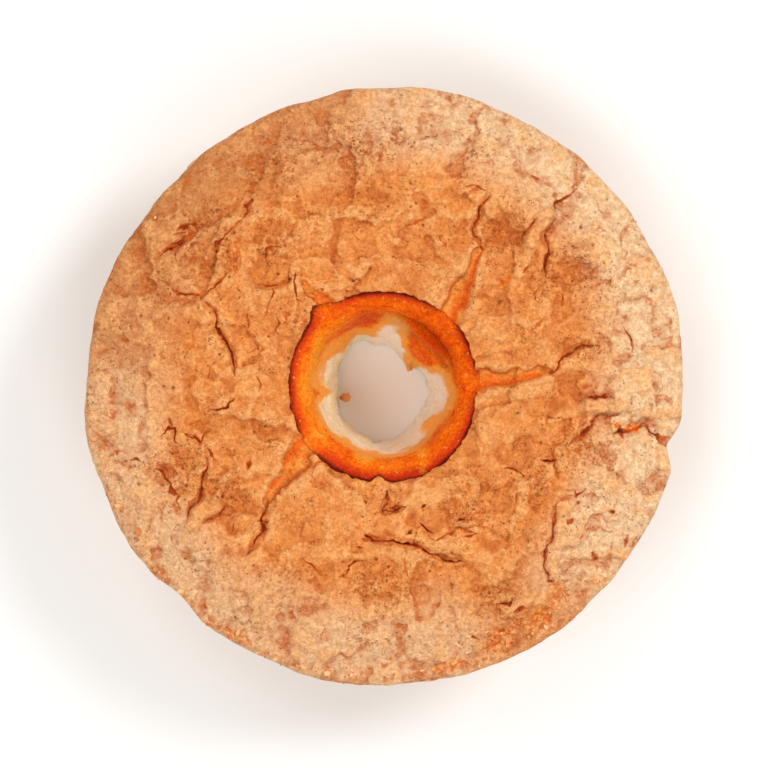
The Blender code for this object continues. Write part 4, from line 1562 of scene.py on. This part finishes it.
def crust_material(settings):
    """Matt tan skin with painted highlights on its folds and painted shade in its hollows and pores, brown
    pitted patches, dark cracks that are partly painted shade, and orange thin spots.
    """
    make = Finish("baked_crust")
    seen = make.patterns(CRUST_PATTERNS)
    crowd = make.sum(make.noise(14 * MM, 2.0), make.times(make.layer("worn"), 0.22))
    crowd = make.span(crowd, 0.43, 0.66)
    # Wrinkle lines, which get painted shade, and the skin's own dark flecks
    lines = make.times(make.line(*CRUST_WRINKLES), seen.wrinkled)
    wrinkle = make.most(make.times(lines, 0.4), make.times(seen.flecks, make.sum(crowd, 0.12)))
    skin = crust_skin(make, settings, seen, wrinkle)
    # Painted shade in the pores
    small = make.times(make.pores(*CRUST_SMALL_PORES), crowd)
    small = make.most(small, make.times(make.pores(*CRUST_LARGE_PORES), seen.pored))
    holes = make.most(make.times(small, 0.85), make.times(make.layer("pore"), 0.7))
    skin = make.laid(skin, holes, settings.pore, most=0.9)
    tone = make.sum(make.times(seen.grain, 0.6), make.times(seen.speckle, 0.4))
    colour = make.tinted(skin, tone, SKIN_SHADE, SKIN_LIGHT)
    height = make.sum(make.times(seen.mottle, 0.3), make.times(seen.speckle, 0.18))
    height = make.sum(height, make.times(seen.grain, 0.28))
    height = make.sum(height, make.times(wrinkle, 0.4), "SUBTRACT")
    height = make.sum(height, make.times(holes, 0.8), "SUBTRACT")
    return make.finish(colour, settings.roughness, height, CRUST_BUMP, 0.12)


def collar_material(settings):
    """Grainy orange collar that passes through yellow into the pale, torn wall of the hole, with painted
    glints on its grains, red painted shade towards the crust's lip and a darker painted shadow just inside
    it.
    """
    make = Finish("moist_collar")
    seen = make.patterns(COLLAR_PATTERNS)
    orange = make.layer("orange")
    # Painted glints on the collar's grains and specks
    bright_grains = make.times(make.pores(*COLLAR_GRAINS), seen.grained)
    glint_specks = make.most(bright_grains, make.times(make.pores(*COLLAR_SPECKS), 0.8))
    glint_specks = make.times(glint_specks, orange)
    wall = make.blend(make.layer("warm"), settings.wall, settings.wall_warm)
    wall = make.laid(wall, seen.torn, settings.wall_brown, most=0.35)
    ring = make.blend(make.times(seen.mottle, 0.75), settings.orange, settings.bright)
    # Red painted shade near the lip and on the wall, and the collar's own red blotches
    ring = make.laid(ring, make.most(make.layer("shade"), make.times(seen.blotches, 0.55)), settings.red)
    skin = make.blend(orange, wall, ring)
    skin = make.laid(skin, make.layer("yellow"), settings.yellow, most=0.92)
    skin = make.laid(skin, glint_specks, settings.painted_glint, most=0.6)
    # Painted shadow in the gap under the crust's lip
    skin = make.laid(skin, make.layer("gap"), settings.gap, most=0.85)
    plain = make.times(make.sum(1.0, orange, "SUBTRACT"), 0.38)
    tone = make.sum(make.times(seen.grain, make.sum(orange, 0.3)), plain)
    colour = make.shaded(skin, tone, 0.8, 1.16)
    height = make.sum(make.times(seen.grain, 0.6), make.times(glint_specks, 0.35))
    return make.finish(colour, settings.roughness, height, COLLAR_BUMP, 0.1, MOIST_SHARE)


def sponge_material(settings):
    """Open cream crumb with patches of thin golden skin, browner towards the crust, and painted shade in its
    pits and holes.
    """
    make = Finish("cream_sponge")
    seen = make.patterns(SPONGE_PATTERNS)
    grain = make.noise(1.3 * MM, 4.0, 0.65)
    small = make.times(make.pores(*SPONGE_SMALL_HOLES), seen.crowd)
    holes = make.most(small, make.times(make.pores(*SPONGE_LARGE_HOLES), 0.8))
    crumb = make.blend(seen.mottle, settings.cream, settings.warm_cream)
    gold = make.blend(seen.mottle, settings.golden, settings.golden_brown)
    gold = make.laid(gold, make.layer("brown"), settings.brown)
    skin = make.span(make.sum(make.layer("skin"), make.times(seen.mottle, 0.5)), 0.25, 1.15)
    colour = make.blend(skin, crumb, gold)
    # Painted shade in the pits and holes
    hollow = make.most(make.layer("cavity"), make.times(holes, 0.6))
    colour = make.laid(colour, hollow, settings.hollow, most=0.5)
    colour = make.shaded(colour, grain, 0.86, 1.14)
    height = make.sum(make.times(grain, 0.5), make.times(holes, 0.9), "SUBTRACT")
    return make.finish(colour, settings.roughness, height, SPONGE_BUMP, 0.25)


def crumb_material(name, light, dark, roughness):
    """Grainy crumb, from a light to a dark colour."""
    make = Finish(name)
    grain = make.noise(0.6 * MM, 3.0, 0.65)
    tone = make.span(make.sum(make.layer("tone"), make.times(grain, 0.5)), 0.2, 1.2)
    colour = make.shaded(make.blend(tone, light, dark), grain, 0.8, 1.2)
    return make.finish(colour, roughness, grain, CRUMB_BUMP, 0.3)


def floor_material(colour):
    """Plain matt floor with a barely uneven tone."""
    make = Finish("pale_floor")
    cloud = make.noise(300 * MM, 2.0)
    shade = make.shaded((*colour, 1.0), cloud, 0.995, 1.005)
    return make.finish(shade, 0.7, cloud, FLOOR_BUMP, 0.2)


# Crumbs and flakes


def surface_height(relief, angle, radius):
    """The crust's height at an angle in degrees and a radius."""
    edge = CAKE_RADIUS + bumps(angle, RIM_BUMPS)
    start = edge - RIM_ROLL
    x, y = radius * np.cos(np.radians(angle)), radius * np.sin(np.radians(angle))
    cosine = np.sqrt(np.clip(1.0 - ((radius - start) / RIM_ROLL) ** 2, 0.0, 1.0))
    cosine = np.where(radius > start, cosine, 1.0)
    height = np.where(radius > start, RIM_HEIGHT + (crown(start) - RIM_HEIGHT) * cosine, crown(radius))
    return height + cosine * relief.at(relief.height, x, y)


def ball():
    """The corners and triangles of a fine unit ball."""
    shape = bmesh.new()
    bmesh.ops.create_icosphere(shape, subdivisions=BALL_STEPS, radius=1.0)
    points = np.array([vertex.co[:] for vertex in shape.verts])
    faces = np.array([[vertex.index for vertex in face.verts] for face in shape.faces])
    shape.free()
    return points, faces


def spun(shape, turn):
    """A shape's points turned about the Z axis by an angle in radians."""
    cosine, sine = math.cos(turn), math.sin(turn)
    x, y = shape[:, 0], shape[:, 1]
    return np.stack((x * cosine - y * sine, x * sine + y * cosine, shape[:, 2]), axis=-1)


def crumb_at(points, draw, middle, size):
    """One uneven crumb, about this size across, that rests on a point."""
    stretch = draw.uniform((0.6, 0.6, 0.4), (1.1, 1.1, 0.8))
    shape = points * stretch * size / 2
    jagged = rough(shape + draw.uniform(0.0, 1.0, 3), 0.7 * size, 3, 109)
    shape = shape * (1.0 + 0.45 * jagged[:, None])
    return spun(shape, draw.uniform(0.0, 2 * math.pi)) + (0.0, 0.0, 0.2 * size) + middle


def flake_at(draw, middle, size):
    """One thin, curled flake of crust: its corners, top skin first."""
    around = np.arange(FLAKE_CORNERS) * 2 * math.pi / FLAKE_CORNERS
    outline = 0.5 * size * (1.0 + 0.3 * draw.uniform(-1.0, 1.0, FLAKE_CORNERS))
    narrow, turn, curl = draw.uniform(0.4, 0.9), draw.uniform(0.0, 2 * math.pi), draw.uniform(0.1, 0.5)
    top = [np.zeros((1, 3))]
    for share in FLAKE_RINGS:
        x, y = share * outline * np.cos(around), share * outline * np.sin(around) * narrow
        lifted = 0.15 * size * (share == FLAKE_RINGS[-1]) * draw.uniform()
        top.append(np.stack((x, y, curl * x * x / size + lifted), axis=-1))
    top = np.concatenate(top)
    shape = np.concatenate((top, top - (0.0, 0.0, FLAKE_THICKNESS)))
    return spun(shape, turn) + (0.0, 0.0, FLAKE_THICKNESS) + middle


def flake_faces():
    """The triangles of a flake: both skins and the edge between them."""
    count, faces = FLAKE_CORNERS, []
    under = 1 + len(FLAKE_RINGS) * count
    for corner in range(count):
        after = (corner + 1) % count
        rings = [(1 + r * count + corner, 1 + r * count + after) for r in range(len(FLAKE_RINGS))]
        faces += [(0, 1 + corner, 1 + after), (under, under + 1 + after, under + 1 + corner)]
        for (a, b), (c, d) in zip(rings, rings[1:]):
            faces += [(a, c, d), (a, d, b)]
            faces += [(under + a, under + d, under + c), (under + a, under + b, under + d)]
        a, b = rings[-1]
        faces += [(a, under + a, under + b), (a, under + b, b)]
    return np.array(faces)


def scattered_places(draw, zones, relief):
    """Seeded places on the crust, as rows of (point, size), from rows of zones."""
    for count, middle, half_width, inner, outer, smallest, biggest in zones:
        for _ in range(count):
            angle = middle + half_width * (draw.uniform(-1.0, 1.0) + 0.3 * draw.uniform(-1.0, 1.0))
            edge = float(CAKE_RADIUS + bumps(np.array(angle), RIM_BUMPS))
            radius = edge - draw.uniform(inner, outer)
            size = smallest + (biggest - smallest) * draw.uniform() ** 2.5
            height = float(surface_height(relief, np.array(angle), np.array(radius)))
            turn = math.radians(angle)
            yield np.array((radius * math.cos(turn), radius * math.sin(turn), height)), size


def joined(shapes, faces):
    """One list of corners and faces from many shapes that have the same faces."""
    count = len(shapes[0])
    return np.concatenate(shapes), np.concatenate([faces + number * count for number in range(len(shapes))])


def add_scraps(name, draw, places, shape_at, faces, material):
    """Adds a piece of loose scraps, each of its own shape and tone, one at each place."""
    shapes, tones = [], []
    for middle, size in places:
        shapes.append(shape_at(draw, middle, size))
        tones.append(np.full(len(shapes[-1]), draw.uniform()))
    mesh = fill_mesh(name, *joined(shapes, faces))
    add_layer(mesh, "tone", np.concatenate(tones))
    add_piece(name, mesh, material)


# Settings

RELIEF_SETTINGS = ("lump_height", "fold_height", "crease_depth", "grain_height", "pore_count", "seed")


def colour_of(name, description, *shown):
    """A setting for a colour, from the red, green and blue that a screen shows."""
    return FloatVectorProperty(
        name=name, description=description, subtype="COLOR", size=3, min=0.0, max=1.0, default=srgb(*shown)
    )


def length_of(name, description, length):
    """A setting for a length."""
    return FloatProperty(
        name=name, description=description, unit="LENGTH", min=0.0, precision=5, default=length
    )


def share_of(name, description, share, most=1.0):
    """A setting for a share."""
    return FloatProperty(
        name=name, description=description, subtype="FACTOR", min=0.0, max=most, default=share
    )


def power_of(name, description, watts):
    """A setting for a light's power."""
    return FloatProperty(name=name, description=description, unit="POWER", min=0.0, default=watts)


class CrustSettings(bpy.types.PropertyGroup):
    """Sizes and colours of the crust"""

    skin: colour_of("Skin", "Baked skin", 243, 154, 78)
    deep_skin: colour_of("Deep skin", "Darker clouds in the skin", 222, 124, 48)
    rosy_skin: colour_of("Rosy skin", "Small rosy patches in the skin", 220, 132, 74)
    # Partly painted reflection: a paler, whiter haze over the outer crust
    pale_skin: colour_of("Pale skin", "Skin of the outer crust", 243, 201, 154)
    # Painted highlight on the folds' tops, also the lighter grains of the torn patches
    fold: colour_of("Folds", "Tops of the folds", 246, 174, 106)
    dull_skin: colour_of("Dull skin", "Browner skin of the outer crust", 206, 130, 74)
    # The worn patches' own brown, also painted shade in the hollows and the wrinkle lines
    brown: colour_of("Brown", "Worn patches and hollows", 196, 100, 40)
    # Painted shade inside the pores
    pore: colour_of("Pores", "Inside the pores", 124, 58, 22)
    # Partly painted shade on the cracks' walls, partly their own red-brown; also painted shade in creases,
    # under the lip, between torn grains and along the splits
    rust: colour_of("Rust", "Walls of the cracks", 202, 86, 24)
    torn: colour_of("Torn", "Grains where the skin is torn off", 222, 112, 44)
    # Partly painted shade at the cracks' bottoms, partly their own red-brown; also painted shade in creases,
    # under the lip, between torn grains and along the splits
    crack: colour_of("Cracks", "Bottom of the cracks", 142, 46, 14)
    orange: colour_of("Orange", "Where the crust is thinnest", 236, 92, 6)
    amber: colour_of("Amber", "Moist crust at the edges of the thin places", 242, 154, 66)
    roughness: share_of("Roughness", "How matt the skin is", 0.75)
    lump_height: length_of("Lump height", "Height of the skin's soft lumps", 0.7 * MM)
    fold_height: length_of("Fold height", "Height of the skin's soft folds", 1.35 * MM)
    crease_depth: length_of("Crease depth", "Depth of the skin's creases", 0.45 * MM)
    grain_height: length_of("Grain height", "Height of the skin's fine grain", 0.17 * MM)
    lip_raggedness: length_of("Lip raggedness", "How ragged the torn lip is", 0.55 * MM)
    rim_reach: share_of("Rim reach", "How far round the rim the crust reaches", 1.45, 2.0)
    pore_count: IntProperty(name="Pores", description="How many pores are tried", min=0, default=1500)
    seed: IntProperty(name="Seed", description="Layout of the pores", min=0, default=5)


class CollarSettings(bpy.types.PropertyGroup):
    """Colours of the collar and of the hole's wall"""

    orange: colour_of("Orange", "Collar", 247, 96, 0)
    bright: colour_of("Bright orange", "Lighter clouds in the collar", 255, 124, 0)
    # Painted shade near the lip and on the wall, also the collar's own red blotches
    red: colour_of("Red", "Collar under the crust's lip", 196, 44, 0)
    # Painted glints on the collar's grains
    painted_glint: colour_of("Specks", "Lightest grains of the collar", 255, 176, 84)
    yellow: colour_of("Yellow", "Where the collar turns pale", 255, 164, 38)
    # Painted shadow under the crust's lip
    gap: colour_of("Gap", "Shadowed gap under the crust's lip", 92, 18, 0)
    wall: colour_of("Wall", "Torn wall of the hole", 255, 244, 224)
    wall_warm: colour_of("Warm wall", "Warmer side of the wall", 255, 238, 192)
    wall_brown: colour_of("Brown wall", "Patches on the wall", 252, 202, 120)
    roughness: share_of("Roughness", "How matt the collar is", 0.48)
    grain_height: length_of("Grain height", "Height of the collar's grain", 0.26 * MM)
    tear_height: length_of("Tear height", "How rough the torn wall is", 1.1 * MM)


class SpongeSettings(bpy.types.PropertyGroup):
    """Colours of the sponge on the sides and the base"""

    cream: colour_of("Cream", "Open crumb", 244, 206, 152)
    warm_cream: colour_of("Warm cream", "Warmer parts of the crumb", 238, 184, 122)
    golden: colour_of("Golden", "Thin skin", 226, 160, 96)
    golden_brown: colour_of("Golden brown", "Darker parts of the skin", 216, 142, 78)
    brown: colour_of("Brown", "Skin near the crust", 198, 116, 56)
    # Painted shade inside the crumb's holes
    hollow: colour_of("Hollows", "Inside the holes of the crumb", 220, 154, 88)
    roughness: share_of("Roughness", "How matt the crumb is", 0.85)
    pit_depth: length_of("Pit depth", "Depth of the crumb's open holes", 0.9 * MM)


class CrumbSettings(bpy.types.PropertyGroup):
    """Colours and layout of the loose crumbs and flakes"""

    light: colour_of("Light", "Lightest crumbs", 228, 164, 98)
    dark: colour_of("Dark", "Darkest crumbs", 200, 108, 46)
    flake_light: colour_of("Light flakes", "Lightest flakes", 240, 184, 126)
    flake_dark: colour_of("Dark flakes", "Darkest flakes", 210, 128, 70)
    roughness: share_of("Roughness", "How matt the crumbs are", 0.85)
    seed: IntProperty(name="Seed", description="Layout of the crumbs", min=0, default=23)


class StageSettings(bpy.types.PropertyGroup):
    """Floor, light and camera"""

    floor: colour_of("Floor", "Floor", 240, 240, 238)
    camera_height: length_of("Camera height", "Height of the camera", 1.061)
    lens: FloatProperty(name="Lens", description="Focal length in millimetres", min=1.0, default=132.0)
    key: power_of("Key light", "Power of the main light", 17.0)
    fill: power_of("Fill light", "Power of the soft light", 9.0)
    low: power_of("Low light", "Power of the light in front", 8.0)
    back: power_of("Back light", "Power of the light behind", 6.5)
    sky: FloatProperty(name="Sky", description="Strength of the light from all round", min=0.0, default=0.43)


@functools.lru_cache(maxsize=1)
def made_relief(*values):
    """The relief for these settings, kept for the next piece."""
    return Relief(types.SimpleNamespace(**dict(zip(RELIEF_SETTINGS, values))))


def cake_relief(context):
    """The crust's relief for the present settings, worked out once."""
    crust = context.scene.cake_crust
    return made_relief(*(getattr(crust, name) for name in RELIEF_SETTINGS))


# Operators


class CAKE_OT_add_crust(bpy.types.Operator):
    """Adds the baked crust, with its folds, cracks and pores"""

    bl_idname = "cake.add_crust"
    bl_label = "Crust"

    def execute(self, context):
        settings, relief = context.scene.cake_crust, cake_relief(context)
        outlines = Outlines(CRUST_COLUMNS, relief)
        points = crust_rows(outlines, relief, settings)
        mesh = fill_mesh("fine_crust", points.reshape(-1, 3), ring_faces(*points.shape[:2]))
        wanted = relief.softened(np.maximum(relief.crack, relief.pore), DETAIL_REACH)
        detailed = relief.at(wanted, points[..., 0].ravel(), points[..., 1].ravel()) > DETAIL_LEAST
        mesh = thinned(mesh, CRUST_TRIANGLES / (2 * len(mesh.polygons)), detailed)
        places = vertex_points(mesh)
        for name, values in crust_layers(places, relief).items():
            add_layer(mesh, name, values)
        lay_flat(mesh, places[:, :2])
        add_piece("crust", mesh, crust_material(settings))
        return {"FINISHED"}


class CAKE_OT_add_collar(bpy.types.Operator):
    """Adds the moist collar inside the crust's lip, and the torn wall of the hole"""

    bl_idname = "cake.add_collar"
    bl_label = "Collar"

    def execute(self, context):
        settings, relief = context.scene.cake_collar, cake_relief(context)
        outlines = Outlines(COLLAR_COLUMNS, relief)
        points = collar_rows(outlines, relief)
        radius, _ = turned(points)
        height = points[..., 2]
        inside = smooth((outlines.lip + UNDER_FADE - radius) / UNDER_FADE)
        torn = smooth((THROAT_HEIGHT + UNDER_FADE - height) / TEAR_FADE)
        foot = smooth((FOOT_TEAR_TOP - height) / FOOT_TEAR_TOP)
        raised = settings.grain_height * rough(points, *COLLAR_GRAIN)
        raised += COLLAR_LUMP_HEIGHT * rough(points, *COLLAR_LUMPS)
        raised += settings.tear_height * torn * rough(points * (1, 1, 0.6), *WALL_TEARS)
        raised += settings.tear_height * foot * rough(points * (1, 1, 0.5), *FOOT_TEARS)
        points += facing(points) * (raised * inside)[..., None]
        points[..., 2] = np.maximum(points[..., 2], FLOOR_CLEARANCE)
        mesh = fill_mesh("collar", points.reshape(-1, 3), ring_faces(*points.shape[:2]))
        for name, values in collar_layers(points.reshape(-1, 3)).items():
            add_layer(mesh, name, values)
        lay_round(mesh, points)
        add_piece("collar", mesh, collar_material(settings))
        return {"FINISHED"}


class CAKE_OT_add_sponge(bpy.types.Operator):
    """Adds the sponge that shows round the rim, down the sides and on the base"""

    bl_idname = "cake.add_sponge"
    bl_label = "Sponge"

    def execute(self, context):
        settings, relief = context.scene.cake_sponge, cake_relief(context)
        outlines = Outlines(SPONGE_COLUMNS, relief)
        points = sponge_rows(outlines, relief)
        height = points[..., 2]
        lumps = rough(points, *SPONGE_LUMPS)
        patches = rough(points * (1, 1, 0.8), *SKIN_PATCHES)
        bare = smooth((height - SKIN_TOP) / SKIN_FADE)
        skin = smooth(SKIN_COVER + SKIN_BREAK * patches - bare)
        pits = smooth((rough(points, *SPONGE_PITS) - PIT_START) / PIT_RANGE)
        depth = settings.pit_depth * pits * (1.0 - SKIN_FILL * skin)
        raised = SPONGE_LUMP_HEIGHT * lumps + SPONGE_GRAIN_HEIGHT * rough(points, *SPONGE_GRAIN)
        raised += SKIN_THICKNESS * skin - depth
        base = smooth(1.0 - height / BASE_REACH)
        points += facing(points) * ((1.0 - 0.8 * base) * raised - BASE_SINK * base)[..., None]
        points[..., 2] = np.where(base > 0.99, 0.0, np.maximum(points[..., 2], 0.0))
        points[..., 2] += base * 0.5 * depth
        mesh = fill_mesh("sponge", points.reshape(-1, 3), ring_faces(*points.shape[:2]))
        add_layer(mesh, "skin", skin)
        # Where shade is painted into the pits
        add_layer(mesh, "cavity", pits * (1.0 - 0.6 * skin))
        browned = smooth((height - BROWN_START + BROWN_WANDER * lumps) / BROWN_FADE)
        add_layer(mesh, "brown", 0.8 * browned + 0.35 * base)
        lay_round(mesh, points)
        add_piece("sponge", mesh, sponge_material(settings))
        return {"FINISHED"}


class CAKE_OT_add_crumbs(bpy.types.Operator):
    """Adds the loose crumbs along the rim and on the crust"""

    bl_idname = "cake.add_crumbs"
    bl_label = "Crumbs"

    def execute(self, context):
        settings = context.scene.cake_crumbs
        draw = np.random.RandomState(settings.seed)
        points, faces = ball()
        places = list(scattered_places(draw, CRUMB_ZONES, cake_relief(context)))
        for angle, radius, height, size in HOLE_CRUMBS:
            places.append((np.append(place(angle, radius), height), size))
        material = crumb_material("loose_crumb", settings.light, settings.dark, settings.roughness)
        add_scraps("crumbs", draw, places, functools.partial(crumb_at, points), faces, material)
        return {"FINISHED"}


class CAKE_OT_add_flakes(bpy.types.Operator):
    """Adds the thin, curled flakes that have come off the crust"""

    bl_idname = "cake.add_flakes"
    bl_label = "Flakes"

    def execute(self, context):
        settings = context.scene.cake_crumbs
        draw = np.random.RandomState(settings.seed + 1)
        places = scattered_places(draw, FLAKE_ZONES, cake_relief(context))
        colours = settings.flake_light, settings.flake_dark
        material = crumb_material("crust_flake", *colours, settings.roughness)
        add_scraps("flakes", draw, places, flake_at, flake_faces(), material)
        return {"FINISHED"}


def add_floor(colour):
    """Adds the plain floor, a hair below the cake."""
    half = FLOOR_SIZE / 2
    mesh = bpy.data.meshes.new("floor")
    corners = [(-half, -half, 0), (half, -half, 0), (half, half, 0), (-half, half, 0)]
    mesh.from_pydata(corners, [], [(0, 1, 2, 3)])
    mesh.materials.append(floor_material(colour))
    floor = bpy.data.objects.new("floor", mesh)
    floor.location.z = -FLOOR_GAP
    bpy.context.scene.collection.objects.link(floor)
    floor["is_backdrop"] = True


def add_light(name, spot, size, power):
    """Adds a round lamp that faces the cake."""
    light = bpy.data.lights.new(name, "AREA")
    light.shape, light.size, light.energy = "DISK", size, power
    lamp = bpy.data.objects.new(name, light)
    lamp.location = spot
    lamp.rotation_euler = (-Vector(spot)).to_track_quat("-Z", "Y").to_euler()
    bpy.context.scene.collection.objects.link(lamp)


def add_sky(strength):
    """Lights the scene evenly from all round."""
    world = bpy.data.worlds.new("soft_sky")
    world.use_nodes = True
    background = world.node_tree.nodes["Background"]
    background.inputs["Color"].default_value = (1.0, 1.0, 1.0, 1.0)
    background.inputs["Strength"].default_value = strength
    bpy.context.scene.world = world


def add_camera(height, lens):
    """Adds the camera, straight above the middle of the cake's outline as it was worked out."""
    camera = bpy.data.cameras.new("camera")
    camera.lens, camera.sensor_width = lens, SENSOR
    eye = bpy.data.objects.new("camera", camera)
    shift = cake_shift()
    eye.location = (shift[0], shift[1] + CAMERA_NUDGE, height)
    bpy.context.scene.collection.objects.link(eye)
    bpy.context.scene.camera = eye


class CAKE_OT_add_stage(bpy.types.Operator):
    """Adds the floor, the four lights, the sky and the camera that looks straight down"""

    bl_idname = "cake.add_stage"
    bl_label = "Floor, light and camera"

    def execute(self, context):
        settings = context.scene.cake_stage
        add_floor(settings.floor)
        add_light("key_light", KEY_PLACE, KEY_SIZE, settings.key)
        add_light("fill_light", FILL_PLACE, FILL_SIZE, settings.fill)
        add_light("low_light", LOW_PLACE, LOW_SIZE, settings.low)
        add_light("back_light", BACK_PLACE, BACK_SIZE, settings.back)
        add_sky(settings.sky)
        add_camera(settings.camera_height, settings.lens)
        context.scene.view_settings.view_transform = "Standard"
        return {"FINISHED"}


PIECE_OPERATORS = (
    CAKE_OT_add_crust,
    CAKE_OT_add_collar,
    CAKE_OT_add_sponge,
    CAKE_OT_add_crumbs,
    CAKE_OT_add_flakes,
    CAKE_OT_add_stage,
)
SETTINGS = (
    ("cake_crust", CrustSettings),
    ("cake_collar", CollarSettings),
    ("cake_sponge", SpongeSettings),
    ("cake_crumbs", CrumbSettings),
    ("cake_stage", StageSettings),
)


class CAKE_PT_panel(bpy.types.Panel):
    """Lists the cake's pieces and their settings"""

    bl_label = "Angel Food Cake"
    bl_idname = "CAKE_PT_panel"
    bl_space_type = "VIEW_3D"
    bl_region_type = "UI"
    bl_category = "Cake"

    def draw(self, context):
        for operator in PIECE_OPERATORS:
            self.layout.operator(operator.bl_idname)
        for name, group in SETTINGS:
            box = self.layout.box()
            box.label(text=group.__doc__)
            for key in group.__annotations__:
                box.prop(getattr(context.scene, name), key)


def register():
    for name, group in SETTINGS:
        bpy.utils.register_class(group)
        setattr(bpy.types.Scene, name, PointerProperty(type=group))
    for thing in (*PIECE_OPERATORS, CAKE_PT_panel):
        bpy.utils.register_class(thing)


def unregister():
    for thing in reversed((*PIECE_OPERATORS, CAKE_PT_panel)):
        bpy.utils.unregister_class(thing)
    for name, group in reversed(SETTINGS):
        delattr(bpy.types.Scene, name)
        bpy.utils.unregister_class(group)


def write_size():
    """Works out the box of the packed model and that of the finished one, as plain lists."""
    boxes = {"cad": CAD_BOX, "visual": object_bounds()}
    plain = {name: [list(corner) for corner in box] for name, box in boxes.items()}


def main():
    register()
    for operator in PIECE_OPERATORS:
        group, name = operator.bl_idname.split(".")
        getattr(getattr(bpy.ops, group), name)()
    write_size()


if __name__ == "__main__":
    main()
